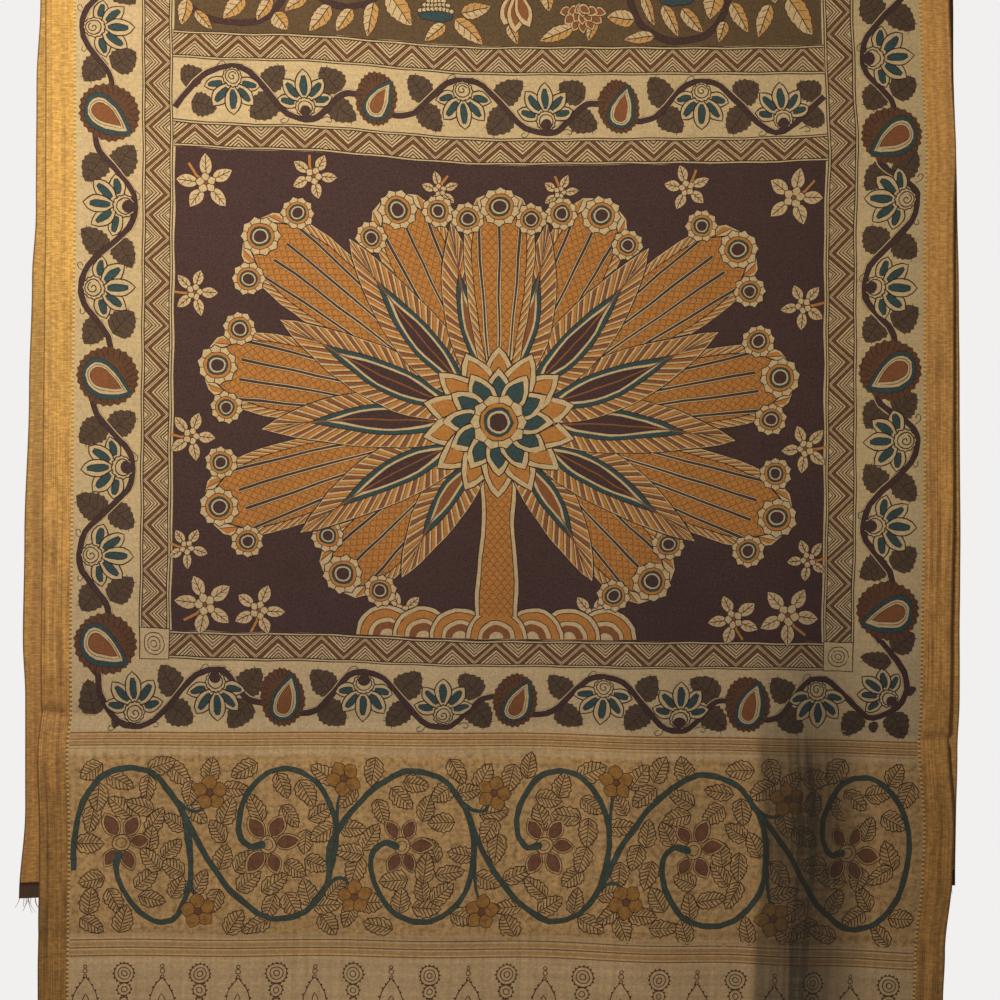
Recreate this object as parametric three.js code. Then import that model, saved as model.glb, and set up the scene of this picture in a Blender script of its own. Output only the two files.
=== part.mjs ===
// A hand-drawn and dyed cotton panel with woven gold borders, hung over a round bar at its top fold.
// It is one flat length of cloth: the front fall shows the design, the back fall is shorter and peeps
// out past the front at both sides. Millimetres, +Z up, -Y towards the viewer, origin at the top of the fold.
import * as THREE from "three";

// Driving dimensions
const THICKNESS = 1.5;
const LOOP_INSIDE_RADIUS = 10;
const STRAIGHT_UNDER_LOOP = 45;
const WAVES_FADE_IN = 80;
const CLOTH_WIDTH = 1150;
const CLOTH_COLOUR = 0xb08a55;
const CLOTH_ROUGHNESS = 0.88;

// How finely the flat cloth is divided before it is hung
const STEPS_ACROSS = 30;
const STEPS_FRONT = 32;
const STEPS_LOOP = 8;
const STEPS_BACK = 14;

// Where the side edges lie as the drop below the fold grows
const FRONT_EDGES = [
  { drop: 0, left: -572, right: 571 },
  { drop: 120, left: -571, right: 571 },
  { drop: 200, left: -571, right: 574 },
  { drop: 313, left: -571, right: 579 },
  { drop: 410, left: -571, right: 576 },
  { drop: 500, left: -572, right: 576 },
  { drop: 750, left: -574, right: 576 },
  { drop: 930, left: -576, right: 573 },
  { drop: 1000, left: -576, right: 572 },
  { drop: 1070, left: -580, right: 570 },
  { drop: 1173, left: -578, right: 576 },
  { drop: 1220, left: -578, right: 574 },
  { drop: 1318, left: -580, right: 565 },
  { drop: 1382, left: -580, right: 562 },
  { drop: 1520, left: -579, right: 562 },
];
const BACK_EDGES = [
  { drop: 0, left: -573, right: 573 },
  { drop: 120, left: -578, right: 580 },
  { drop: 221, left: -582, right: 578 },
  { drop: 386, left: -583, right: 581 },
  { drop: 470, left: -588, right: 583 },
  { drop: 614, left: -592, right: 584 },
  { drop: 800, left: -598, right: 585 },
  { drop: 930, left: -600, right: 584 },
  { drop: 1000, left: -597, right: 584 },
  { drop: 1145, left: -597, right: 579 },
  { drop: 1260, left: -605, right: 578 },
];

// How far down each hem reaches, by the share of the width from the left edge
const FRONT_HEM = [
  { share: 0, drop: 1503 },
  { share: 0.3, drop: 1500 },
  { share: 0.6, drop: 1508 },
  { share: 1, drop: 1517 },
];
const BACK_HEM = [
  { share: 0, drop: 1252 },
  { share: 0.5, drop: 1246 },
  { share: 1, drop: 1238 },
];

// Soft upright folds: outward is a ridge, inward a trough, growing from start to full drop
const FRONT_FOLDS = [
  { centre: -548, halfWidth: 55, outward: 4, start: 250, full: 600, lean: -0.01 },
  { centre: -455, halfWidth: 60, outward: -3, start: 400, full: 900, lean: -0.02 },
  { centre: -340, halfWidth: 75, outward: 5, start: 350, full: 950, lean: 0.01 },
  { centre: -225, halfWidth: 65, outward: -3.5, start: 500, full: 1050, lean: 0.02 },
  { centre: -75, halfWidth: 85, outward: 5, start: 250, full: 900, lean: -0.02 },
  { centre: 40, halfWidth: 60, outward: -3.5, start: 600, full: 1100, lean: 0.01 },
  { centre: 160, halfWidth: 70, outward: 5.5, start: 450, full: 1000, lean: 0.02 },
  { centre: 262, halfWidth: 55, outward: -4, start: 600, full: 1050, lean: 0.02 },
  { centre: 345, halfWidth: 55, outward: 8, start: 600, full: 1080, lean: 0.03 },
  { centre: 425, halfWidth: 48, outward: -5, start: 620, full: 1080, lean: 0.03 },
  { centre: 520, halfWidth: 60, outward: 5, start: 200, full: 450, lean: 0.01 },
];
const BACK_FOLDS = [
  { centre: -520, halfWidth: 90, outward: 5, start: 200, full: 700, lean: -0.02 },
  { centre: -260, halfWidth: 120, outward: -4, start: 250, full: 800, lean: -0.01 },
  { centre: 30, halfWidth: 130, outward: 6, start: 250, full: 800, lean: 0.01 },
  { centre: 300, halfWidth: 120, outward: -4, start: 250, full: 800, lean: 0.01 },
  { centre: 520, halfWidth: 90, outward: 5, start: 200, full: 700, lean: 0.02 },
];

// Creases from storage run across the front fall, slanting from the left drop to the right drop
const FRONT_CREASES = [
  { leftDrop: 1022, rightDrop: 1052, halfDrop: 26, outward: -4.5 },
  { leftDrop: 1308, rightDrop: 1326, halfDrop: 22, outward: -2.5 },
  { leftDrop: 1090, rightDrop: 1112, halfDrop: 34, outward: 2.5 },
];

const MIDDLE_RADIUS = LOOP_INSIDE_RADIUS + THICKNESS / 2;
const LOOP_CENTRE_DROP = LOOP_INSIDE_RADIUS + THICKNESS;
const WAVES_START_DROP = LOOP_CENTRE_DROP + STRAIGHT_UNDER_LOOP;

const bell = (distance) => Math.exp(-distance * distance);

// A value read from a table, eased from row to row
function eased(table, key, column, at) {
  const next = table.findIndex((row) => row[key] >= at);
  if (next === 0) return table[0][column];
  if (next < 0) return table[table.length - 1][column];
  const a = table[next - 1];
  const b = table[next];
  const share = THREE.MathUtils.smoothstep(at, a[key], b[key]);
  return THREE.MathUtils.lerp(a[column], b[column], share);
}

// How far the upright folds push a fall outwards at a place on it
function foldRelief(folds, x, drop) {
  let relief = 0;
  for (const fold of folds) {
    const centre = fold.centre + fold.lean * (drop - fold.start);
    const grown = THREE.MathUtils.smoothstep(drop, fold.start, fold.full);
    relief += fold.outward * grown * bell((x - centre) / fold.halfWidth);
  }
  return relief * THREE.MathUtils.smoothstep(drop, WAVES_START_DROP, WAVES_START_DROP + WAVES_FADE_IN);
}

function creaseRelief(share, drop) {
  let relief = 0;
  for (const crease of FRONT_CREASES) {
    const line = THREE.MathUtils.lerp(crease.leftDrop, crease.rightDrop, share);
    relief += crease.outward * bell((drop - line) / crease.halfDrop);
  }
  return relief;
}

// A point of a straight fall: side is -1 in front and +1 behind, lift is the way out of the cloth's face
function fallPoint(side, edges, hem, share, fraction, lift, target) {
  const hemDrop = eased(hem, "share", "drop", share);
  const drop = THREE.MathUtils.lerp(LOOP_CENTRE_DROP, hemDrop, fraction);
  const left = eased(edges, "drop", "left", drop);
  const right = eased(edges, "drop", "right", drop);
  const x = THREE.MathUtils.lerp(left, right, share);
  const relief =
    side < 0 ? foldRelief(FRONT_FOLDS, x, drop) + creaseRelief(share, drop) : foldRelief(BACK_FOLDS, x, drop);
  return target.set(x, side * (MIDDLE_RADIUS + relief + lift), -drop);
}

// A point of the half turn over the bar, from the front fall at 0 to the back fall at 1
function loopPoint(share, turn, lift, target) {
  const radius = MIDDLE_RADIUS + lift;
  const left = THREE.MathUtils.lerp(FRONT_EDGES[0].left, BACK_EDGES[0].left, turn);
  const right = THREE.MathUtils.lerp(FRONT_EDGES[0].right, BACK_EDGES[0].right, turn);
  const angle = Math.PI * turn;
  return target.set(
    THREE.MathUtils.lerp(left, right, share),
    -radius * Math.cos(angle),
    radius * Math.sin(angle) - LOOP_CENTRE_DROP,
  );
}

// The flat cloth is a thin box, and each of its points is carried to where it hangs
function hungCloth() {
  const steps = STEPS_FRONT + STEPS_LOOP + STEPS_BACK;
  const flat = new THREE.BoxGeometry(CLOTH_WIDTH, steps, THICKNESS, STEPS_ACROSS, steps, 1);
  const points = flat.getAttribute("position");
  const point = new THREE.Vector3();
  for (let i = 0; i < points.count; i++) {
    const share = points.getX(i) / CLOTH_WIDTH + 0.5;
    const step = points.getY(i) + steps / 2;
    const lift = points.getZ(i);
    if (step <= STEPS_FRONT) {
      fallPoint(-1, FRONT_EDGES, FRONT_HEM, share, 1 - step / STEPS_FRONT, lift, point);
    } else if (step < STEPS_FRONT + STEPS_LOOP) {
      loopPoint(share, (step - STEPS_FRONT) / STEPS_LOOP, lift, point);
    } else {
      const fraction = (step - STEPS_FRONT - STEPS_LOOP) / STEPS_BACK;
      fallPoint(1, BACK_EDGES, BACK_HEM, share, fraction, lift, point);
    }
    points.setXYZ(i, point.x, point.y, point.z);
  }
  flat.deleteAttribute("uv");
  flat.computeVertexNormals();
  return flat;
}

const dyedCotton = new THREE.MeshStandardMaterial({
  color: CLOTH_COLOUR,
  roughness: CLOTH_ROUGHNESS,
  metalness: 0,
});

const cloth = new THREE.Mesh(hungCloth(), dyedCotton);
cloth.name = "cloth";

const panel = new THREE.Group();
panel.add(cloth);

export default panel;
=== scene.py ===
import math
import random

import bpy
import numpy as np
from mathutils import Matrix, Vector
from mathutils.geometry import delaunay_2d_cdt
from mathutils.kdtree import KDTree


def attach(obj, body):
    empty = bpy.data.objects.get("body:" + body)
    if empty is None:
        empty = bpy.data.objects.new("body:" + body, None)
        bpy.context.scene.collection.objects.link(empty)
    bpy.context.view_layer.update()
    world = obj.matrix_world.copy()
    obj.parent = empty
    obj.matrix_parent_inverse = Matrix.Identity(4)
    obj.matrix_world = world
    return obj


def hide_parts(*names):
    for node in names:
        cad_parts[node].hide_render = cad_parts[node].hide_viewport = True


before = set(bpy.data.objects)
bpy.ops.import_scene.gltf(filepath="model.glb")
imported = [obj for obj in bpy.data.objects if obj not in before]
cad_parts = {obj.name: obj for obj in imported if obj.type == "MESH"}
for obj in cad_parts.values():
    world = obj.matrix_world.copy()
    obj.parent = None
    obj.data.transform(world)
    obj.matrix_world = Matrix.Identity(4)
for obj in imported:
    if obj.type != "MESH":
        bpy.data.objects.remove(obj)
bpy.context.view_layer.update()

# Sizes of the cloth, in millimetres. Flat places on it are (x, y): x across from the middle,
# y up, with 0 at the top of the fold, the front fall below and the back fall above.
MM = 0.001
WIDTH = 1150.0
THICKNESS = 0.8
LOOP_RADIUS = 10.75
LOOP_DROP = 11.5
STRAIGHT_TO = 56.5
WAVES_FADE_IN = 80.0
FRONT_LENGTH = 1508.0
BACK_LENGTH = 1246.0
BACK_START = math.pi * LOOP_RADIUS - LOOP_DROP
FLAT_TOP = BACK_START + BACK_LENGTH - LOOP_DROP
FLAT_LENGTH = FRONT_LENGTH + FLAT_TOP

# Side edges of each fall: drop below the fold, left edge, right edge
FRONT_EDGES = (
    (0, -572, 571), (120, -571, 571), (200, -571, 574), (313, -571, 579), (410, -571, 576),
    (500, -572, 576), (750, -574, 576), (930, -576, 573), (1000, -576, 572), (1070, -580, 570),
    (1173, -578, 576), (1220, -578, 574), (1318, -580, 565), (1382, -580, 562), (1520, -579, 562),
)
BACK_EDGES = (
    (0, -573, 573), (120, -582, 580), (221, -587, 578), (386, -588, 581), (470, -593, 583),
    (614, -597, 584), (800, -603, 585), (930, -605, 584), (1000, -602, 584), (1145, -602, 579),
    (1260, -610, 578),
)

# How far the weft lines hang below true level: drop, then at five places from left to right
WEFT_PLACES = (-575, -290, 0, 290, 575)
WEFT_SAG = (
    (LOOP_DROP, 0, 0, 0, 0, 0),
    (206, -22, -9, 9, 9, 4),
    (317, -24, -8, 11, 9, -2),
    (924, -14, -6, 4, 6, 9),
    (1048, -5, -5, -4, 2, 8),
    (1307, -5, -5, -3, 4, 12),
    (FRONT_LENGTH, -5, -8, -2, 3, 9),
)
BACK_HEM_SAG = (13, 4, 0, -4, -8)
# How close the right edge of the back fall lies behind the front fall
EDGE_GAP = 3.6

# Upright folds: centre, half width, outward, drop where it starts, drop where it is full, lean
FRONT_FOLDS = (
    (-548, 55, 4, 250, 600, -0.01), (-455, 60, -3, 400, 900, -0.02), (-340, 75, 5, 350, 950, 0.01),
    (-225, 65, -3.5, 500, 1050, 0.02), (-75, 85, 5, 250, 900, -0.02), (40, 60, -3.5, 600, 1100, 0.01),
    (160, 70, 5.5, 450, 1000, 0.02), (262, 55, -4, 600, 1050, 0.02), (345, 55, 8, 600, 1080, 0.03),
    (425, 48, -5, 620, 1080, 0.03), (520, 60, 5, 200, 450, 0.01),
)
BACK_FOLDS = (
    (-520, 90, 5, 200, 700, -0.02), (-260, 120, -4, 250, 800, -0.01), (30, 130, 6, 250, 800, 0.01),
    (300, 120, -4, 250, 800, 0.01), (520, 90, 5, 200, 700, 0.02),
)

# Storage creases across the front fall: drop at the left, drop at the right, half width, outward
FRONT_CREASES = (
    (1022, 1052, 26, -4.5), (1308, 1326, 22, -2.5), (1090, 1112, 34, 2.5),
    (1018, 1050, 6, -1.4), (1300, 1318, 5, -0.8), (640, 655, 9, -0.6), (388, 372, 8, -0.5),
)


def smoothstep(at, start, end):
    share = np.clip((at - start) / (end - start), 0.0, 1.0)
    return share * share * (3.0 - 2.0 * share)


def eased(at, rows, column):
    """A table's column at a mark, eased from row to row; the first column holds the marks."""
    marks = np.array([row[0] for row in rows], float)
    values = np.array([row[column] for row in rows], float)
    i = np.clip(np.searchsorted(marks, at) - 1, 0, len(marks) - 2)
    share = smoothstep(at, marks[i], marks[i + 1])
    return values[i] + (values[i + 1] - values[i]) * share


def fold_relief(folds, x, drop):
    relief = np.zeros_like(x)
    for centre, half, outward, start, full, lean in folds:
        line = centre + lean * (drop - start)
        relief += outward * smoothstep(drop, start, full) * np.exp(-(((x - line) / half) ** 2))
    return relief * smoothstep(drop, STRAIGHT_TO, STRAIGHT_TO + WAVES_FADE_IN)


def crease_relief(share, drop):
    relief = np.zeros_like(drop)
    for left, right, half, outward in FRONT_CREASES:
        line = left + (right - left) * share
        relief += outward * np.exp(-(((drop - line) / half) ** 2))
    return relief


def ripple(x, drop):
    """Slight unevenness of hung cotton, stronger along the stiff gold selvedges."""
    soft = np.sin(x / 31 + drop / 57) * np.sin(drop / 43 - x / 83 + 1.0)
    fine = np.sin(x / 13 - drop / 29 + 0.7) * np.sin(drop / 17 + x / 37)
    edge = smoothstep(np.abs(x), 500, 575) * np.sin(drop / 19 + 2.0 * np.sin(drop / 71))
    grown = smoothstep(drop, STRAIGHT_TO, STRAIGHT_TO + 2 * WAVES_FADE_IN)
    line = np.interp(x, (-575, -500, 470, 575), (1020, 1024, 1046, 1056))
    stiff = smoothstep(np.abs(x), 470, 545)
    tuck = stiff * np.exp(-(((drop - line) / 6) ** 2))
    lip = stiff * np.exp(-(((drop - line + 12) / 7) ** 2))
    return grown * (0.5 * soft + 0.12 * fine + 0.5 * edge) - 3.2 * tuck + 1.6 * lip


def front_bulge(x, share, drop):
    """How far the front fall stands out from the middle of the fold."""
    return LOOP_RADIUS + fold_relief(FRONT_FOLDS, x, drop) + crease_relief(share, drop) + ripple(x, drop)


def hang(flat, lift):
    """Carries flat places to where they hang, lift millimetres out of the cloth's middle, in metres."""
    x, y = flat[:, 0], flat[:, 1]
    share = x / WIDTH + 0.5
    in_front = y < -LOOP_DROP
    behind = y > BACK_START

    sag = np.zeros_like(x)
    columns = [eased(-y, WEFT_SAG, k + 1) for k in range(len(WEFT_PLACES))]
    for k in range(len(WEFT_PLACES) - 1):
        part = (x >= WEFT_PLACES[k]) & (x <= WEFT_PLACES[k + 1])
        blend = smoothstep(x, WEFT_PLACES[k], WEFT_PLACES[k + 1])
        sag = np.where(part, columns[k] + (columns[k + 1] - columns[k]) * blend, sag)
    drop = -y + sag
    front_x = eased(drop, FRONT_EDGES, 1) * (1 - share) + eased(drop, FRONT_EDGES, 2) * share
    front_y = -(lift + front_bulge(front_x, share, drop))

    back_share = np.clip((y - BACK_START) / (FLAT_TOP - BACK_START), 0, 1)
    back_drop = LOOP_DROP + y - BACK_START + back_share * np.interp(x, WEFT_PLACES, BACK_HEM_SAG)
    back_x = eased(back_drop, BACK_EDGES, 1) * (1 - share) + eased(back_drop, BACK_EDGES, 2) * share
    back_y = LOOP_RADIUS + lift + fold_relief(BACK_FOLDS, back_x, back_drop)
    back_y += 0.5 * ripple(back_x + 200, back_drop)
    close = lift + EDGE_GAP - front_bulge(back_x, share, back_drop)
    back_y += (close - back_y) * smoothstep(x, 470, 566) * smoothstep(back_drop, 90, 300)

    turn = np.clip((y + LOOP_DROP) / LOOP_RADIUS, 0, math.pi)
    blend = turn / math.pi
    left = FRONT_EDGES[0][1] * (1 - blend) + BACK_EDGES[0][1] * blend
    right = FRONT_EDGES[0][2] * (1 - blend) + BACK_EDGES[0][2] * blend
    loop_x = left * (1 - share) + right * share
    loop_y = -(LOOP_RADIUS + lift) * np.cos(turn)
    loop_z = (LOOP_RADIUS + lift) * np.sin(turn) - LOOP_DROP

    place = np.stack([loop_x, loop_y, loop_z], 1)
    place[in_front] = np.stack([front_x, front_y, -drop], 1)[in_front]
    place[behind] = np.stack([back_x, back_y, -back_drop], 1)[behind]
    return place * MM


# Dyes, as they look in even daylight
def dye(red, green, blue):
    """Screen colour to the light it gives back."""
    return tuple(((c / 255 + 0.055) / 1.055) ** 2.4 for c in (red, green, blue))


UNDYED = dye(211, 174, 128)
CREAM = dye(216, 183, 132)
TAN = dye(207, 162, 106)
GOLD = dye(232, 172, 78)
AUBERGINE = dye(80, 55, 49)
TEAL = dye(61, 79, 75)
GREY_TEAL = dye(70, 82, 72)
OCHRE = dye(197, 128, 60)
OLIVE = dye(104, 80, 52)
LEAF = dye(94, 72, 54)
LEAF_SHADE = dye(208, 156, 88)
LEAF_VEIN = dye(70, 52, 36)
RUST = dye(146, 89, 52)
BROWN = dye(116, 74, 46)
BROWN_VEIN = dye(86, 52, 36)
HUSK = dye(106, 70, 46)
MADDER = dye(128, 82, 58)
INK = dye(66, 46, 36)
FAINT_INK = dye(98, 70, 47)
YELLOW = dye(174, 122, 60)
DARK_END = dye(92, 68, 50)


class Spot:
    """A place on the flat cloth with its own turn, size and hand; called, it carries points there."""

    def __init__(self, origin=(0.0, 0.0), axes=((1.0, 0.0), (0.0, 1.0))):
        self.origin = np.array(origin, float)
        self.axes = np.array(axes, float)

    def __call__(self, points):
        return self.origin + np.asarray(points, float) @ self.axes

    def at(self, x, y, turn=0.0, size=1.0):
        c, s = math.cos(turn) * size, math.sin(turn) * size
        return Spot(self((x, y)), np.array(((c, s), (-s, c))) @ self.axes)

    def local(self, points):
        """Points of the cloth as they lie in this spot."""
        return (points - self.origin) @ np.linalg.inv(self.axes)


def wobble(points):
    """The unsteadiness of a bamboo pen, the same for lines that lie side by side."""
    x, y = points[:, 0], points[:, 1]
    across = np.sin(0.115 * x + 0.071 * y + 1.3) + 0.6 * np.sin(0.31 * y - 0.17 * x + 4.1)
    up = np.sin(0.101 * y - 0.083 * x + 2.2) + 0.6 * np.sin(0.29 * x + 0.13 * y + 0.4)
    return points + 0.55 * np.stack([across, up], 1)


class Drawing:
    """Dyed shapes on the flat cloth, each laid over the ones before it."""

    def __init__(self):
        self.points = []
        self.shapes = []
        self.looks = []
        self.grains = {}

    def fill(self, outline, colour, steady=False, grain=None):
        """Lays a shape down; a grain spot gives it fine scales that run along the spot's x."""
        outline = np.asarray(outline, float)
        if grain:
            self.grains[len(self.shapes)] = grain
        if not steady:
            outline = wobble(outline)
        if not runs_left(outline):
            outline = outline[::-1]
        start = len(self.points)
        self.points.extend(map(tuple, outline))
        self.shapes.append(list(range(start, start + len(outline))))
        self.looks.append((colour, id(grain) if grain else None))

    def box(self, left, low, right, high, colour, steady=False):
        """An upright rectangle, its long sides divided so that they can waver and hang."""
        xs = rows_between(left, right, 16)
        ys = rows_between(low, high, 16)
        sides = (
            [(x, low) for x in xs[:-1]], [(right, y) for y in ys[:-1]],
            [(x, high) for x in xs[:0:-1]], [(left, y) for y in ys[:0:-1]],
        )
        self.fill(sum(sides, []), colour, steady)

    def line(self, path, width, colour):
        self.fill(ribbon(path, width), colour)

    def outlined(self, outline, colour, width=1.3, ink=INK):
        self.fill(swell(outline, width / 2), ink)
        self.fill(swell(outline, -width / 2), colour)


def left_of(ahead):
    """Steps of length 1 to the left of the ways ahead."""
    ahead = ahead / np.maximum(np.hypot(ahead[:, 0], ahead[:, 1]), 1e-9)[:, None]
    return np.stack([-ahead[:, 1], ahead[:, 0]], 1)


def runs_left(outline):
    """Whether a closed outline runs against the clock."""
    x, y = outline[:, 0], outline[:, 1]
    return np.sum(x * np.roll(y, -1) - y * np.roll(x, -1)) > 0


def ribbon(path, width):
    """A stroke's outline along a path; width is one number or one for each point."""
    path = np.asarray(path, float)
    side = left_of(np.gradient(path, axis=0)) * (np.broadcast_to(width, len(path))[:, None] / 2)
    return np.concatenate([path + side, (path - side)[::-1]])


def beside(path, by):
    """An open path moved to its left by a distance."""
    return path + by * left_of(np.gradient(path, axis=0))


def swell(outline, by):
    """A closed outline moved outwards by a distance, or inwards if it is negative."""
    outline = np.asarray(outline, float)
    out = -1.0 if runs_left(outline) else 1.0
    return outline + by * out * left_of(np.roll(outline, -1, 0) - np.roll(outline, 1, 0))


def mirrored(upper, blunt=False):
    """A closed outline from its upper edge along +x; a blunt one keeps its end corners."""
    lower = upper * (1, -1)
    return np.concatenate([upper, lower[::-1] if blunt else lower[-2:0:-1]])


def level(along, height):
    """Points along +x at one height."""
    return np.stack([along, np.full_like(along, height)], 1)


def smooth(points, steps):
    """A flowing curve through a few points, with so many steps from one to the next."""
    p = np.asarray(points, float)
    p = np.concatenate([[2 * p[0] - p[1]], p, [2 * p[-1] - p[-2]]])
    curve = []
    for a, b, c, d in zip(p, p[1:], p[2:], p[3:]):
        for t in np.arange(steps) / steps:
            bend = (2 * a - 5 * b + 4 * c - d) * t * t + (3 * b - a - 3 * c + d) * t ** 3
            curve.append(0.5 * (2 * b + (c - a) * t + bend))
    return np.array([*curve, p[-2]])


def circle(x, y, radius, count, squash=1.0):
    angle = 2 * math.pi * np.arange(count) / count
    return np.stack([x + radius * np.cos(angle), y + radius * squash * np.sin(angle)], 1)


def petal(length, width, count=6, fullness=0.8):
    """A pointed petal from the origin along +x."""
    t = np.linspace(0, 1, count + 1)
    half = width / 2 * np.sin(math.pi * t ** fullness) ** 0.75
    return mirrored(np.stack([length * t, half], 1))


def teardrop(length, width, count=18, bend=0.0):
    """A drop about the origin, its point towards +x, the tip bent to one side."""
    angle = 2 * math.pi * np.arange(count) / count
    x = np.cos(angle)
    y = np.sin(angle) * np.sin(angle / 2) ** 0.9
    return np.stack([x * length / 2, y * width / 1.55 + bend * (x + 1) ** 2], 1)


def toothed(length, width, teeth, depth):
    """A broad leaf from the origin along +x with a toothed edge."""
    t = np.linspace(0, 1, 2 * teeth + 1)
    half = width / 2 * np.sin(math.pi * t ** 0.72) ** 0.7
    half[1::2] *= 1 - depth
    return mirrored(np.stack([length * t, half], 1))


def veins(pen, spot, length, width, count, line, colour, rib=None):
    """A midrib and slanting side veins of a leaf that runs along +x."""
    for k in range(count):
        t = 0.14 + 0.66 * k / max(count - 1, 1)
        reach = 0.40 * width * math.sin(math.pi * t ** 0.72) ** 0.7
        for side in (-1, 1):
            root, tip = (length * t, 0.0), (length * (t + 0.13), side * reach)
            pen.line(spot([root, tip]), line, colour)
    bow = [(0.02 * length, 0), (0.5 * length, 0.03 * width), (0.93 * length, 0)]
    pen.line(spot(smooth(bow, 3)), line * 1.25, rib or colour)


def core(length, width):
    """A blunt petal heart along +x."""
    t = np.linspace(0, 1, 6)
    half = width / 2 * np.sin(math.pi * (0.08 + 0.84 * t)) ** 0.6
    return mirrored(np.stack([length * t, half], 1), blunt=True)


# Petals of a lotus: turn in degrees, tip, width, start and length of the teal core
LOTUS_PETALS = (
    (-76, 42, 21, 16, 20), (76, 42, 21, 16, 20), (-38, 48, 23, 15, 25), (38, 48, 23, 15, 25),
    (0, 51, 24, 14, 28),
)


def lotus(pen, spot, dark):
    """A fan of five petals with teal cores, opening along +x from its heart."""
    for angle, tip, broad, start, length in LOTUS_PETALS:
        part = spot.at(0, 0, math.radians(angle))
        pen.outlined(part.at(6, 0)(petal(tip - 6, broad, 7, 1.1)), CREAM, 1.6)
        pen.outlined(part.at(start, 0)(core(length, broad * 0.44)), TEAL, 0.9)
    scallops = circle(-4, 0, 15, 24)
    scallops[1::2] = circle(-4, 0, 13.4, 24)[1::2]
    pen.outlined(spot(scallops), CREAM, 1.6)
    pen.outlined(spot(circle(-5, 0, 10.5, 14)), CREAM, 1.5)
    if dark:
        pen.fill(spot(circle(-10, 0, 8.6, 12)), AUBERGINE)
    else:
        turns = np.linspace(0, 2.4 * math.pi, 14)
        radius = 7.5 * (1 - 0.82 * turns / turns[-1])
        curl = np.stack([-5 + radius * np.cos(turns + 2), radius * np.sin(turns + 2)], 1)
        pen.line(spot(curl), 1.4, INK)


# Rings of a paisley drop, from the outside in: length, width, bend of the tip, dye
PAISLEY_RINGS = (
    (60, 49, -5.0, INK), (58.5, 47.5, -5.0, TEAL), (50, 37, -4.4, INK), (48.5, 35.5, -4.4, CREAM),
    (43, 29.5, -3.9, INK), (41.5, 28, -3.9, CREAM), (37, 23, -3.4, INK), (35.5, 21.5, -3.4, RUST),
)


def paisley(pen, spot, slim):
    """A hatched, toothed disc around a ringed drop that points along +x; slim is width over length."""
    spot = Spot(spot.origin, spot.axes * np.array((1, slim))[:, None])
    teeth = 26
    edge = circle(0, 0, 37, 2 * teeth)
    edge[1::2] *= 0.93
    pen.fill(spot(edge), HUSK)
    for k in range(teeth):
        a = 2 * math.pi * (k + 0.25) / teeth
        hatch = [(r * math.cos(a + bend), r * math.sin(a + bend)) for r, bend in ((23, 0), (35, 0.1))]
        pen.line(spot(hatch), 1.4, BROWN_VEIN)
    for length, width, bend, colour in PAISLEY_RINGS:
        pen.fill(spot.at((length - PAISLEY_RINGS[0][0]) * 0.1, 0)(teardrop(length, width, 20, bend)), colour)


def olive_leaf(pen, spot, length, width):
    pen.fill(spot(toothed(length, width, 6, 0.13)), LEAF)
    veins(pen, spot, length, width, 4, 0.9, LEAF_VEIN)


def pale_leaf(pen, spot, length, width):
    outline = toothed(length, width, 6, 0.1)
    pen.outlined(spot(outline), CREAM, 0.9, BROWN_VEIN)
    pen.fill(spot(swell(np.concatenate([outline[:13], [(0.5 * length, 0.04 * width)]]), -0.5)), LEAF_SHADE)
    veins(pen, spot, length, width, 4, 1.0, RUST, INK)


def small_leaf(pen, spot, length, width):
    pen.outlined(spot(petal(length, width, 5, 0.9)), CREAM, 1.0, BROWN_VEIN)
    for t in (0.3, 0.55):
        for side in (-1, 1):
            pen.line(spot([(length * t, 0), (length * (t + 0.2), side * 0.28 * width)]), 0.9, RUST)
    pen.line(spot([(0, 0), (0.9 * length, 0)]), 1.1, INK)


def pen_leaf(pen, spot, length, width, ground):
    """A leaf in pen lines alone, on the ground that it stands on."""
    pen.outlined(spot(toothed(length, width, 5, 0.16)), ground, 1.4)
    for k in range(6):
        t = 0.08 + 0.13 * k
        reach = 0.40 * width * math.sin(math.pi * t ** 0.72) ** 0.7
        for side in (-1, 1):
            pen.line(spot([(length * t, 0.04 * width * side), (length * (t + 0.16), side * reach)]), 1.2, INK)
    pen.line(spot([(0, 0), (length * 0.95, 0)]), 1.2, INK)


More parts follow.
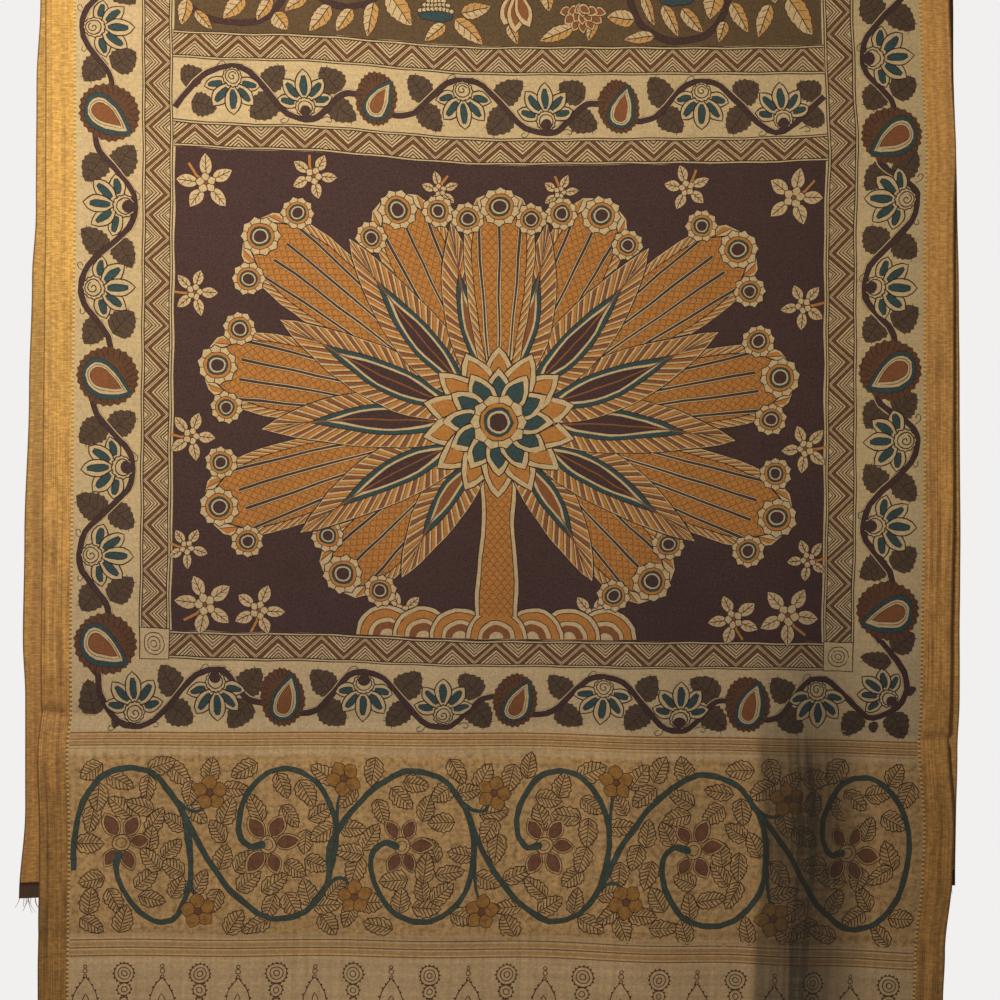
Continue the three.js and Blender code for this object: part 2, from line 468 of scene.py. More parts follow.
def vine(pen, spot, elements, half, start, end, size, disc, rng):
    """A waving stem along +x with lotuses, paisleys and leaves; up is +y.

    elements are (place along the band, kind, side that it opens to); start and end are the stem's end points;
    size is of the lotuses, and disc is the size and the slimness of the paisleys.
    """
    knots = []
    for k, (place, kind, side) in enumerate(elements):
        if kind == "paisley":
            after = elements[k + 1][2] if k + 1 < len(elements) else -elements[k - 1][2]
            knots += [(place - 30, 0.12 * half * elements[k - 1][2]), (place + 26, 0.45 * half * after)]
        else:
            knots.append((place, -0.83 * half * side))
    stem = list(start)
    for (a, low), (b, high) in zip(knots, knots[1:]):
        for t in (0.0, 0.25, 0.5, 0.75):
            swing = 0.5 - 0.5 * math.cos(math.pi * (t - 0.04 * math.sin(2 * math.pi * t)))
            stem.append((a + (b - a) * t, low + (high - low) * swing))
    path = smooth([*stem, knots[-1], *end], 3)
    for (a, before, _), (b, after, _) in zip(elements, elements[1:]):
        middle = a + (b - a) * (0.5 + 0.06 * ((before == "paisley") - (after == "paisley")))
        near = int(np.argmin(np.abs(path[:, 0] - middle) + 99 * (np.abs(path[:, 1]) > half)))
        falling = 1 if path[near - 1][1] > path[near][1] else -1
        for side in (-1, 1):
            lean = math.radians(rng.uniform(30, 60)) * falling + (0 if side == falling else math.pi)
            x, y = middle + 7 * side * falling, side * 0.48 * half
            length = rng.uniform(37, 44)
            olive_leaf(pen, spot.at(x, y, lean).at(-length / 2, 0), length, rng.uniform(34, 39))
    pen.line(spot(path), 9.0, INK)
    pen.line(spot(path), 7.6, AUBERGINE)
    pen.line(spot(beside(path, 3.6)), 1.1, CREAM)
    for place, kind, side in elements:
        if kind == "paisley":
            paisley(pen, spot.at(place, 0, math.pi / 2 + rng.uniform(-0.15, 0.15), disc[0]), disc[1])
            continue
        for turn in (-1, 1):
            tendril = [(0, 0), (6, 5), (12, 4), (12, 0), (7, -1)]
            root = spot.at(place + 20 * turn, -0.78 * half * side, math.pi / 2 * side - 1.9 * turn)
            pen.line(root(smooth(tendril, 2)), 1.0, INK)
        lean = math.pi / 2 * side + rng.uniform(-0.08, 0.08)
        lotus(pen, spot.at(place, -0.37 * half * side, lean, size), kind == "dark lotus")


CHEVRON_PERIOD = 56.0
# Zigzag lines: how far off the middle, width, dye
ZIGZAGS = ((0, 1.0, INK), (-5, 6.0, INK), (5, 6.0, INK), (-5, 4.6, BROWN), (5, 4.6, BROWN))
# Nested triangles in each bend: how far the point stands off the zigzag's foot, width of the line, dye
CHEVRON_TRIANGLES = ((10.6, 1.7, INK), (14.8, 1.7, INK), (18.8, 2.4, BROWN), (23.0, 1.5, INK))


def chevron(pen, spot, length, half):
    """A zigzag band along +x: two brown zigzags, nested pen triangles and double edge lines."""
    along = np.linspace(0, length, max(2, int(length / 20)))
    pen.fill(spot(mirrored(level(along, half), blunt=True)), CREAM)
    inside = half - 3.6
    swing = inside - 1.6
    count = max(1, round(length / CHEVRON_PERIOD))
    step = length / count / 2
    corners = np.arange(2 * count + 1)
    zig = np.stack([corners * step, np.where(corners % 2, swing, -swing)], 1)
    for shift, thick, colour in ZIGZAGS:
        upper = kept_within(zig + (0, shift + thick / 2), inside + 1.5)
        lower = kept_within(zig + (0, shift - thick / 2), inside + 1.5)
        pen.fill(spot(np.concatenate([upper, lower[::-1]])), colour)
    slope = 2 * swing / step
    for k in range(2 * count + 1):
        side = 1 if k % 2 == 0 else -1
        middle = k * step
        for rise, nib, colour in CHEVRON_TRIANGLES:
            apex = rise - swing
            far = (inside - apex) / slope
            near = (inside - apex - nib) / slope
            if near < 1.5:
                continue
            outer = [(-far, inside), (0, apex), (far, inside)]
            inner = [(near, inside), (0, apex + nib), (-near, inside)]
            points = np.array([(min(max(middle + x, 0), length), side * y) for x, y in outer + inner])
            if 0 < k < 2 * count:
                pen.fill(spot(points), colour)
            elif k == 0:
                pen.fill(spot(points[[1, 2, 3, 4]]), colour)
            else:
                pen.fill(spot(points[[0, 1, 4, 5]]), colour)
    for place, width, colour in ((half - 1.8, 3.6, CREAM), (half - 0.7, 1.4, INK), (half - 3.7, 1.4, INK)):
        for side in (-1, 1):
            pen.line(spot(level(along, side * place)), width, colour)


def kept_within(path, limit):
    """A path along +x with its peaks cut off flat at a limit on either side."""
    kept = []
    for (xa, ya), (xb, yb) in zip(path, path[1:]):
        kept.append((xa, min(max(ya, -limit), limit)))
        for bound in sorted((-limit, limit), reverse=bool(ya > yb)):
            if (ya - bound) * (yb - bound) < 0:
                kept.append((xa + (xb - xa) * (bound - ya) / (yb - ya), bound))
    x, y = path[-1]
    return np.array([*kept, (x, min(max(y, -limit), limit))])


def corner_square(pen, x, drop, half):
    """A square between bands that holds rings."""
    pen.box(x - half, -drop - half, x + half, -drop + half, INK)
    pen.box(x - half + 1.1, -drop - half + 1.1, x + half - 1.1, -drop + half - 1.1, CREAM)
    for radius in (13.5, 8.6, 4.2):
        pen.outlined(circle(x, -drop, radius, 18), CREAM, 1.1)


# Places of the bands: across from the middle first, then drops down the front fall
PANEL_HALF = 411.0
CHEVRON_SIDE = (413.0, 452.0)
VINE_SIDE = (454.0, 534.0)
GOLD_FROM = 538.5
TOP_CLOSE = (20.0, 56.0)
OLIVE_BAND = (56.0, 170.0)
CHEVRON_HIGH = (170.0, 206.0)
VINE_HIGH = (206.0, 284.0)
CHEVRON_MIDDLE = (284.0, 318.0)
PANEL = (318.0, 924.0)
CHEVRON_LOW = (924.0, 960.0)
VINE_LOW = (960.0, 1047.0)
LOW_MIDDLE = 1006.0
SCROLLS = (1078.0, 1304.0)
PENDANTS_FROM = 1342.0


def painted_ground(pen):
    """Flat dye fields under all the drawing."""
    pen.box(-WIDTH / 2, -FRONT_LENGTH, WIDTH / 2, FLAT_TOP, UNDYED, steady=True)
    for side in (-1, 1):
        a, b = sorted((side * GOLD_FROM, side * WIDTH / 2))
        pen.box(a, -FRONT_LENGTH, b, FLAT_TOP, GOLD, steady=True)
    pen.box(-GOLD_FROM, -VINE_LOW[1], GOLD_FROM, -TOP_CLOSE[0], CREAM)
    pen.box(-PANEL_HALF, -OLIVE_BAND[1], PANEL_HALF, -OLIVE_BAND[0], OLIVE)
    pen.box(-PANEL_HALF, -PANEL[1], PANEL_HALF, -PANEL[0], AUBERGINE)
    pen.box(-GOLD_FROM + 3, -SCROLLS[1], GOLD_FROM - 3, -SCROLLS[0], TAN)


# Woven stripes across the front fall: drop where it starts, its width, dye
WOVEN_STRIPES = (
    (1049, 2.0, dye(154, 110, 66)), (1052.5, 3.6, dye(188, 140, 84)), (1057, 1.6, dye(140, 100, 60)),
    (1060, 3.4, dye(184, 136, 80)), (1064.5, 1.6, dye(144, 103, 62)), (1068, 2.4, dye(198, 154, 102)),
    (1306, 2.6, dye(206, 164, 112)), (1311, 1.6, dye(150, 108, 66)), (1315, 4.4, dye(190, 146, 92)),
    (1321, 1.6, dye(140, 100, 62)), (1324.5, 4.6, dye(188, 143, 88)), (1331, 1.6, dye(150, 108, 66)),
    (1476, 2.0, dye(140, 98, 54)), (1480, 18.0, dye(200, 146, 74)), (1500, 2.0, dye(130, 90, 50)),
)
# The dark strip at the back end, and the stripes before it: how far from the end, width, dye
END_STRIP = 20.0
BACK_STRIPES = (
    (60, 3.0, dye(140, 98, 54)), (66, 12.0, dye(196, 142, 74)), (82, 3.0, dye(140, 98, 54)),
    (26, 2.0, dye(130, 90, 50)), (32, 5.0, dye(190, 136, 70)),
)


def woven_stripes(pen):
    """Stripes between the gold borders, and right across at the front hem and on the back fall."""
    for drop, broad, colour in WOVEN_STRIPES:
        half = WIDTH / 2 if drop > PENDANTS_FROM else GOLD_FROM - 3
        pen.box(-half, -drop - broad, half, -drop, colour, steady=True)
    for up, broad, colour in BACK_STRIPES:
        pen.box(-WIDTH / 2, FLAT_TOP - up - broad, WIDTH / 2, FLAT_TOP - up, colour, steady=True)


# Elements of the vine bands: place, kind, side they open to
LEFT_VINE = (
    (60, "dark lotus", -1), (173, "lotus", 1), (282, "paisley", 1), (399, "dark lotus", -1),
    (503, "lotus", 1), (612, "paisley", 1), (724, "dark lotus", -1), (834, "lotus", 1),
    (944, "paisley", 1),
)
RIGHT_VINE = (
    (78, "lotus", 1), (188, "dark lotus", -1), (289, "paisley", 1), (372, "lotus", 1),
    (481, "dark lotus", -1), (584, "paisley", 1), (671, "lotus", 1), (777, "dark lotus", -1),
    (883, "paisley", 1),
)
HIGH_VINE = (
    (-338, "lotus", -1), (-246, "dark lotus", 1), (-156, "paisley", 1), (-46, "lotus", -1),
    (58, "dark lotus", 1), (151, "paisley", 1), (256, "lotus", -1), (358, "dark lotus", 1),
)
LOW_VINE = (
    (-458, "lotus", 1), (-354, "dark lotus", -1), (-270, "paisley", 1), (-167, "dark lotus", -1),
    (-66, "lotus", 1), (25, "paisley", 1), (136, "lotus", -1), (234, "dark lotus", 1), (318, "paisley", 1),
    (406, "lotus", -1),
)
# How the stems start and end, about the middle of their bands
HIGH_START = ((-411, -24), (-397, -4), (-381, 14), (-362, 27))
LOW_START = ((-502, 26), (-500, 4), (-484, -24))
LOW_END = ((424, 31), (442, 14), (460, -4), (478, -13), (506, 1), (518, 24), (515, 45), (500, 68), (486, 84))
CORNER_LOTUS = (494, 992)
# Leaves at the ends of the bands: middle across, drop, turn in degrees, length, width
END_LEAVES = (
    (-388, 228, 20, 34, 32), (-374, 264, -10, 34, 32), (392, 226, 150, 34, 32), (396, 262, 200, 32, 30),
    (-512, 1008, 100, 44, 36), (-480, 1038, 250, 15, 13), (514, 921, 40, 36, 33), (480, 945, 170, 40, 24),
    (524, 983, 20, 16, 14), (452, 1029, 240, 36, 32), (479, 1032, 270, 16, 14), (509, 1029, 300, 38, 34),
)


def vine_bands(pen):
    rng = random.Random(11)
    for x, drop, turn, length, width in END_LEAVES:
        olive_leaf(pen, Spot((x, -drop)).at(0, 0, math.radians(turn)).at(-length / 2, 0), length, width)
    half = (VINE_SIDE[1] - VINE_SIDE[0]) / 2
    middle = (VINE_SIDE[0] + VINE_SIDE[1]) / 2
    for side, elements, end in ((-1, LEFT_VINE, (985, -5)), (1, RIGHT_VINE, (925, 8))):
        down = Spot((side * middle, 0), ((0, -1), (-side, 0)))
        vine(pen, down, elements, half, [(TOP_CLOSE[0], 0)], [end], 0.95, (1.08, 0.95), rng)
    middle = (VINE_HIGH[0] + VINE_HIGH[1]) / 2
    vine(pen, Spot((0, -middle)), HIGH_VINE, 39, HIGH_START, [(PANEL_HALF, 10)], 0.86, (0.94, 0.78), rng)
    vine(pen, Spot((0, -LOW_MIDDLE)), LOW_VINE, 43, LOW_START, LOW_END, 0.90, (1.03, 0.76), rng)
    x, drop = CORNER_LOTUS
    lotus(pen, Spot((x, -drop)).at(0, 0, math.radians(140), 0.78), True)


def chevron_bands(pen):
    broad = (CHEVRON_SIDE[1] - CHEVRON_SIDE[0]) / 2
    middle = (CHEVRON_SIDE[0] + CHEVRON_SIDE[1]) / 2
    for side in (-1, 1):
        down = Spot((side * middle, -TOP_CLOSE[0]), ((0, -1), (-side, 0)))
        chevron(pen, down, CHEVRON_LOW[1] - TOP_CLOSE[0], broad)
    for top, bottom in (TOP_CLOSE, CHEVRON_HIGH, CHEVRON_MIDDLE, CHEVRON_LOW):
        chevron(pen, Spot((-PANEL_HALF - 2, -(top + bottom) / 2)), 2 * PANEL_HALF + 4, (bottom - top) / 2)
    for side in (-1, 1):
        corner_square(pen, side * middle, (CHEVRON_LOW[0] + CHEVRON_LOW[1]) / 2, broad)


def blossom(pen, spot, petals, length, width, colour, heart):
    """A round flower of outlined petals."""
    for k in range(petals):
        part = spot.at(0, 0, 2 * math.pi * k / petals)
        pen.outlined(part.at(length * 0.14, 0)(petal(length, width, 6, 1.0)), colour, 1.0, BROWN_VEIN)
    pen.outlined(spot(circle(0, 0, length * 0.24, 10)), heart, 1.0, BROWN_VEIN)


# Stems of the olive band, each by x and drop
OLIVE_STEMS = (
    (
        (-406, 66), (-403, 110), (-390, 137), (-366, 152), (-326, 157), (-297, 150), (-275, 128), (-262, 96),
        (-252, 62),
    ),
    ((-252, 62), (-240, 104), (-221, 124), (-198, 131), (-176, 128), (-158, 121), (-140, 96), (-130, 62)),
    ((-20, 62), (10, 92), (60, 104), (116, 96), (150, 62)),
    ((152, 62), (162, 96), (171, 122), (183, 145), (207, 161), (237, 163), (267, 155), (291, 124), (302, 62)),
    ((302, 62), (330, 100), (366, 106), (404, 70)),
)
# Leaves of the olive band: x and drop of the root, x and drop of the tip, width
OLIVE_LEAVES = (
    (-394, 126, -402, 163, 20), (-384, 143, -363, 166, 16), (-322, 122, -349, 151, 24),
    (-288, 122, -306, 152, 18), (-284, 142, -268, 166, 24), (-244, 118, -270, 139, 18),
    (-212, 131, -240, 165, 22), (-186, 133, -205, 164, 19), (-157, 124, -167, 167, 20),
    (-139, 112, -110, 150, 30), (-68, 145, -93, 167, 16), (-54, 138, -20, 168, 22),
    (-46, 131, -8, 123, 20), (14, 143, 25, 168, 14), (60, 100, 66, 129, 18), (95, 147, 52, 164, 18),
    (124, 138, 114, 164, 15), (174, 138, 138, 135, 21), (198, 158, 159, 162, 16), (184, 106, 198, 146, 14),
    (211, 121, 229, 158, 18), (234, 126, 259, 153, 18), (278, 104, 270, 137, 26), (290, 141, 279, 165, 15),
    (297, 118, 317, 153, 20), (346, 120, 330, 160, 20), (370, 112, 399, 158, 28),
)
OLIVE_BELLS = ((-78, 135), (228, 114), (-340, 96))


def olive_band(pen):
    """Pale leaves and flowers on arching dark stems."""
    rng = random.Random(23)
    for k in range(24):
        root = Spot((-390 + 34 * k, -rng.uniform(64, 76))).at(0, 0, math.radians(rng.uniform(-130, -50)))
        pale_leaf(pen, root, rng.uniform(32, 38), rng.uniform(18, 22))
    for stem in OLIVE_STEMS:
        path = smooth(np.array(stem) * (1, -1), 4)
        pen.line(path, 8.6, INK)
        pen.line(path, 6.8, AUBERGINE)
    for root_x, root_drop, tip_x, tip_drop, width in OLIVE_LEAVES:
        turn = math.atan2(root_drop - tip_drop, tip_x - root_x)
        length = math.hypot(tip_x - root_x, tip_drop - root_drop)
        pale_leaf(pen, Spot((root_x, -root_drop)).at(0, 0, turn), length, width)
    for x, drop in OLIVE_BELLS:
        for row in (2, 1):
            for k in range(9 - 2 * row):
                scallop = circle(x - (4 - row) * 5 + 5 * k, -drop + 7 + 5 * row, 3.8, 8, 0.8)
                pen.outlined(scallop, CREAM, 1.2)
        pen.outlined(circle(x, -drop, 22, 22, 0.38), TEAL, 1.2)
        for k in range(9):
            pen.outlined(circle(x - 20 + 5 * k, -drop + 7.5 - 0.5 * abs(k - 4), 3.6, 8, 0.85), CREAM, 1.2)
    for angle, length in ((-112, 44), (-92, 50), (-70, 46)):
        part = Spot((24, -104)).at(0, 0, math.radians(angle))
        pen.outlined(part(petal(length, 22, 7, 1.2)), CREAM, 1.2, BROWN_VEIN)
        pen.fill(part.at(6, 0)(petal(length - 14, 13, 6, 1.2)), RUST)
    for x, drop in ((108, 124), (-352, 92), (352, 88)):
        for reach, count in ((22, 7), (12, 5), (3, 3)):
            for k in range(count):
                part = Spot((x, -drop)).at(0, 0, math.pi * (1.0 + (k + 0.5) / count)).at(reach - 8, 0)
                pen.outlined(part(petal(17, 13, 5, 0.8)), CREAM, 1.0, BROWN_VEIN)
                pen.fill(part.at(2.5, 0)(petal(12, 9, 5, 0.8)), RUST)


# Scrolls of the teal stem: centre across, half width, 1 where the stem runs over it or -1 under it
SCROLL_ROW = ((-462, 74, 1), (-268, 65, -1), (-98, 69, 1), (79, 62, -1), (269, 70, 1), (460, 58, -1))
SCROLL_RISE = 97.0
# Shape of one scroll, in shares of its half width and of the rise
SCROLL_STEM = ((-1.6, 0.02), (-1.1, 0.52), (-0.6, 0.82), (-0.1, 0.97), (0.48, 0.86), (0.86, 0.5))
SCROLL_CURL = (
    (0.62, 0.76), (0.86, 0.48), (1.0, 0.02), (0.96, -0.42), (0.68, -0.80), (0.2, -0.98), (-0.35, -0.90),
    (-0.76, -0.55), (-0.86, -0.18), (-0.66, 0.02), (-0.42, 0.0),
)
SCROLL_TWIGS = (
    ((0.80, 0.58), (1.0, 0.46), (1.22, 0.46), (1.40, 0.68)),
    ((0.96, 0.20), (1.02, -0.15), (1.06, -0.5), (1.20, -0.86)),
)
SCROLL_HEART = (-0.30, 0.0)
# The first scroll starts the stem at the border, and its curl turns back under its flower
FIRST_STEM = (
    (-0.93, -0.33), (-0.94, 0.0), (-0.87, 0.34), (-0.68, 0.68), (-0.36, 0.92), (0.09, 1.0), (0.5, 0.88),
    (0.86, 0.5),
)
FIRST_CURL = (
    (0.62, 0.76), (0.86, 0.5), (1.0, 0.2), (1.05, -0.13), (1.02, -0.55), (0.86, -0.9), (0.58, -1.02),
    (0.26, -0.92), (-0.06, -0.66), (-0.22, -0.36), (-0.19, -0.14),
)
FIRST_HEART = (-0.15, 0.02)


def leaf_places(rng, keep_off, apart):
    """Random places in the scroll band that stay off some spots, each with its reach, and off each other."""
    low, high = -SCROLLS[1] + 11, -SCROLLS[0] - 11
    places = []
    for _ in range(9000):
        x, y = rng.uniform(-GOLD_FROM + 20, GOLD_FROM - 20), rng.uniform(low, high)
        clear = np.hypot(keep_off[:, 0] - x, keep_off[:, 1] - y) > keep_off[:, 2]
        if clear.all() and all(math.hypot(x - a, y - b) > apart for a, b in places):
            places.append((x, y))
    return places


def scroll_band(pen):
    """One teal stem that waves along the band and sends a curl with a flower into each bend."""
    rng = random.Random(37)
    middle = -(SCROLLS[0] + SCROLLS[1]) / 2
    units = [Spot((x, middle), ((half, 0), (0, SCROLL_RISE * hand))) for x, half, hand in SCROLL_ROW]
    shapes = [(SCROLL_STEM, SCROLL_CURL, SCROLL_HEART)] * len(units)
    shapes[0] = (FIRST_STEM, FIRST_CURL, FIRST_HEART)
    stem = smooth([p for unit, (over, _, _) in zip(units, shapes) for p in unit(over)], 7)
    curls = [smooth(unit(curl), 7) for unit, (_, curl, _) in zip(units, shapes)]
    hearts = [unit([heart])[0] for unit, (_, _, heart) in zip(units, shapes)]
    twigs = [smooth(unit(twig), 5) for unit in units for twig in SCROLL_TWIGS]
    twigs = [twig for twig in twigs if twig[-1][0] < GOLD_FROM - 22]
    flowers = [twig[-1] for twig in twigs]

    def around(points, reach):
        return np.column_stack([points, np.full(len(points), float(reach))])

    strokes = np.concatenate([stem, *curls])
    keep_off = np.concatenate([around(strokes, 13), around(hearts, 35), around(flowers, 23)])
    for x, y in leaf_places(rng, keep_off, 24):
        spot = Spot((x, y)).at(0, 0, rng.uniform(0, 2 * math.pi))
        length = rng.uniform(32, 40)
        pen_leaf(pen, spot.at(-length / 2, 0), length, rng.uniform(22, 28), TAN)
    for x, y in hearts:
        for angle in (118, 62, 4, -66, -122):
            size = rng.uniform(0.85, 1.15)
            part = Spot((x, y)).at(0, 0, math.radians(angle + rng.uniform(-8, 8))).at(9, 0)
            pen.outlined(part(petal(31 * size, 20 * size, 7, 0.95)), TAN, 1.0)
            pen.outlined(part.at(2.5, 0)(petal(25 * size, 15 * size, 6, 0.95)), MADDER, 0.8)
        pen.outlined(circle(x, y, 11, 16), TAN, 1.2)
        pen.outlined(circle(x, y, 6.5, 12), TAN, 1.0)
    for twig in twigs:
        pen.line(twig, np.linspace(6.0, 3.0, len(twig)), GREY_TEAL)
    for curl in curls:
        far = np.linspace(0, 1, len(curl))
        thick = 6.2 + 3.0 * smoothstep(far, 0.90, 1.0)
        pen.line(curl, thick + 1.0, INK)
        pen.line(curl, thick, GREY_TEAL)
        pen.fill(circle(*curl[-1], 5.2, 10), GREY_TEAL)
    pen.line(stem, 7.4, INK)
    pen.line(stem, 6.4, GREY_TEAL)
    for x, y in flowers:
        blossom(pen, Spot((x, y)).at(0, 0, rng.uniform(0, 6)), 5, 20, 18, YELLOW, MADDER)


PENDANT_PITCH = 48.6
# Beaded rings of a chain, from the top: drop, radius, then the plain rings within, each by radius and corners
CHAIN_RINGS = ((12, 12.5, ((8.0, 14), (3.6, 14))), (33, 8.0, ((3.6, 10),)), (48, 5.0, ()))


def pen_ring(pen, x, y, radius, corners):
    pen.outlined(circle(x, y, radius, corners), UNDYED, 1.3, FAINT_INK)


def bead(pen, x, y):
    pen.fill(circle(x, y, 1.4, 5), BROWN_VEIN)


def pendants(pen):
    """A row of pen-drawn drops and ring chains that hang below the stripes."""
    top = -PENDANTS_FROM
    for k in range(22):
        x = -515 + PENDANT_PITCH * k
        if k % 2:
            for drop, radius, within in CHAIN_RINGS:
                pen_ring(pen, x, top - drop, radius, 18)
                for place in circle(x, top - drop, radius + 0.9, max(8, int(radius * 1.3))):
                    bead(pen, *place)
                for inner, corners in within:
                    pen_ring(pen, x, top - drop, inner, corners)
            for lean in (-0.45, 0, 0.45):
                swing = 26 * math.sin(lean)
                tail = [(x, top - 54), (x + swing * 0.6, top - 66), (x + swing, top - 76)]
                pen.line(smooth(tail, 3), 1.3, FAINT_INK)
        else:
            for drop, radius in ((3, 2.2), (9, 3.0), (16, 2.2)):
                pen_ring(pen, x, top - drop, radius, 8)
            hung = Spot((x, top - 40), ((0, 1), (-1, 0)))
            pen.outlined(hung(teardrop(46, 30, 22)), UNDYED, 1.4, FAINT_INK)
            beaded = hung(teardrop(49, 33, 44))
            for a in np.linspace(0.5, 2 * math.pi - 0.5, 15):
                bead(pen, *beaded[int(a / (2 * math.pi) * 44)])
            pen.outlined(hung.at(-5, 0)(teardrop(15, 8, 10)), UNDYED, 1.3, FAINT_INK)


def rope(pen, spot, t, outer, inner, strands, slant, dyes, line):
    """Slanting strands between two edge lines, each by its start and end in shares of their length."""
    for k, (a, b) in enumerate(strands):
        ends = ((a, outer), (b, outer), (max(b - slant, 0.0), inner), (max(a - slant, 0.0), inner))
        corners = [(np.interp(q, t, edge[:, 0]), np.interp(q, t, edge[:, 1])) for q, edge in ends]
        pen.fill(spot(corners), dyes[k % len(dyes)])
        pen.line(spot([corners[1], corners[2]]), line, INK)


def plume(pen, spot, length, width, bend, heart):
    """A long leaf with a rope-striped margin, teal and cream lines and a dyed heart, along +x."""
    t = np.linspace(0, 1, 15)

    def edge(inset, start=0.0):
        half = np.maximum(width / 2 * np.sin(math.pi * t ** 0.78) ** 0.8 - inset, 0.4)
        along = start + (length - 1.6 * inset - start) * t
        bow = bend * np.sin(math.pi * along / length * 0.9)
        return np.stack([along, bow + half], 1), np.stack([along, bow - half], 1)

    def band(inset, start, colour):
        upper, lower = edge(inset, start)
        pen.fill(spot(np.concatenate([upper, lower[-2:0:-1]])), colour)

    band(-1.2, -1.2, INK)
    band(0, 0, CREAM)
    count = int(length / 11)
    strands = [((k + 0.15) / count, (k + 0.80) / count) for k in range(count)]
    for outer, inner in zip(edge(0.6, 0.6), edge(17, 13)):
        rope(pen, spot, t, outer, inner, strands, 0.05, (RUST, OCHRE), 0.8)
    band(16, 12, INK)
    band(17, 13, TEAL)
    band(21.5, 19, CREAM)
    band(24, 23, heart)
    upper, lower = edge(29, 34)
    pen.line(spot((upper + lower)[1:-1] / 2), 1.8, RUST)


# Rings of a rosette: share of its radius, dye
ROSETTE_RINGS = ((0.74, INK), (0.70, OCHRE), (0.56, INK), (0.53, TEAL), (0.42, CREAM), (0.34, AUBERGINE))


def rosette(pen, spot, radius):
    """Rings within a scalloped round."""
    lobes = 10
    edge = circle(0, 0, radius, 3 * lobes)
    edge *= (1 + 0.08 * np.cos(2 * math.pi * np.arange(3 * lobes) / 3))[:, None]
    pen.outlined(spot(edge), CREAM, 1.3)
    for k in range(lobes):
        a = 2 * math.pi * (k + 0.5) / lobes
        spoke = [(radius * r * math.cos(a), radius * r * math.sin(a)) for r in (0.72, 0.95)]
        pen.line(spot(spoke), 1.0, INK)
    for share, colour in ROSETTE_RINGS:
        pen.fill(spot(circle(0, 0, radius * share, 14)), colour)


def lobe(pen, spot, length, width, rays):
    """A broad scaled leaf with a rope edge and dark rays, along +x."""
    t = np.linspace(0, 1, 22)

    def edge(inset):
        half = np.maximum(width / 2 * t ** 0.62 * np.sqrt(1 - t ** 6) - inset, 0)
        return np.stack([(length - inset) * t, half], 1)

    pen.fill(spot(swell(mirrored(edge(0)), 1.2)), INK)
    pen.fill(spot(mirrored(edge(0))), CREAM)
    count = int(length / 12)
    strands = [((k + 0.2) / count, (k + 0.75) / count) for k in range(2, count)]
    for side in (-1, 1):
        rope(pen, spot, t, edge(0.8) * (1, side), edge(10) * (1, side), strands, 0.04, (OCHRE,), 0.9)
    pen.fill(spot(mirrored(edge(9.2))), INK)
    pen.fill(spot(mirrored(edge(10.4))), OCHRE, grain=spot)
    for k in range(rays):
        share = (k + 0.5) / rays * 2 - 1
        path = [(length * q, share * (width / 2 - 14) * q ** 0.62) for q in np.linspace(0.2, 0.86, 9)]
        pen.line(spot(path), 6.4, INK)
        pen.line(spot(path), 5.2, CREAM)
        pen.line(spot(path), np.linspace(1.6, 3.6, 9), AUBERGINE)


# The flowering tree, right half, about its heart: turn in degrees, length, width, rays
TREE_HEART = (0.0, -646.0)
TREE_LOBES = ((-46, 305, 128, 3), (-19, 396, 140, 4), (9, 384, 136, 4), (36, 398, 140, 4), (64, 318, 126, 3))
TREE_TOP = (300, 118, 3)
# Slim plumes between the lobes: turn in degrees, length, width, bend, heart
TREE_PLUMES = (
    (-60, 236, 60, 8, RUST), (-32, 292, 70, 10, AUBERGINE), (-5, 300, 72, 10, AUBERGINE),
    (23, 300, 72, -10, AUBERGINE), (50, 292, 70, -10, AUBERGINE), (77, 262, 60, -8, RUST),
)
# Rings of the hills at its foot: radius, dye
HILL_RINGS = (
    (40, INK), (38.6, CREAM), (34, INK), (33, OCHRE), (24, INK), (23, CREAM), (18, RUST), (9, CREAM),
)
# Sprigs that fill the ground, right half: x, drop, turn in degrees, size
TREE_SPRIGS = (
    (372, 362, 225, 1.25), (236, 348, 250, 1.0), (385, 500, 180, 1.0), (388, 680, 180, 1.05),
    (368, 890, 135, 1.3), (300, 896, 110, 1.1), (120, 892, 60, 1.0), (392, 820, 190, 0.9),
    (76, 352, -70, 0.8),
)


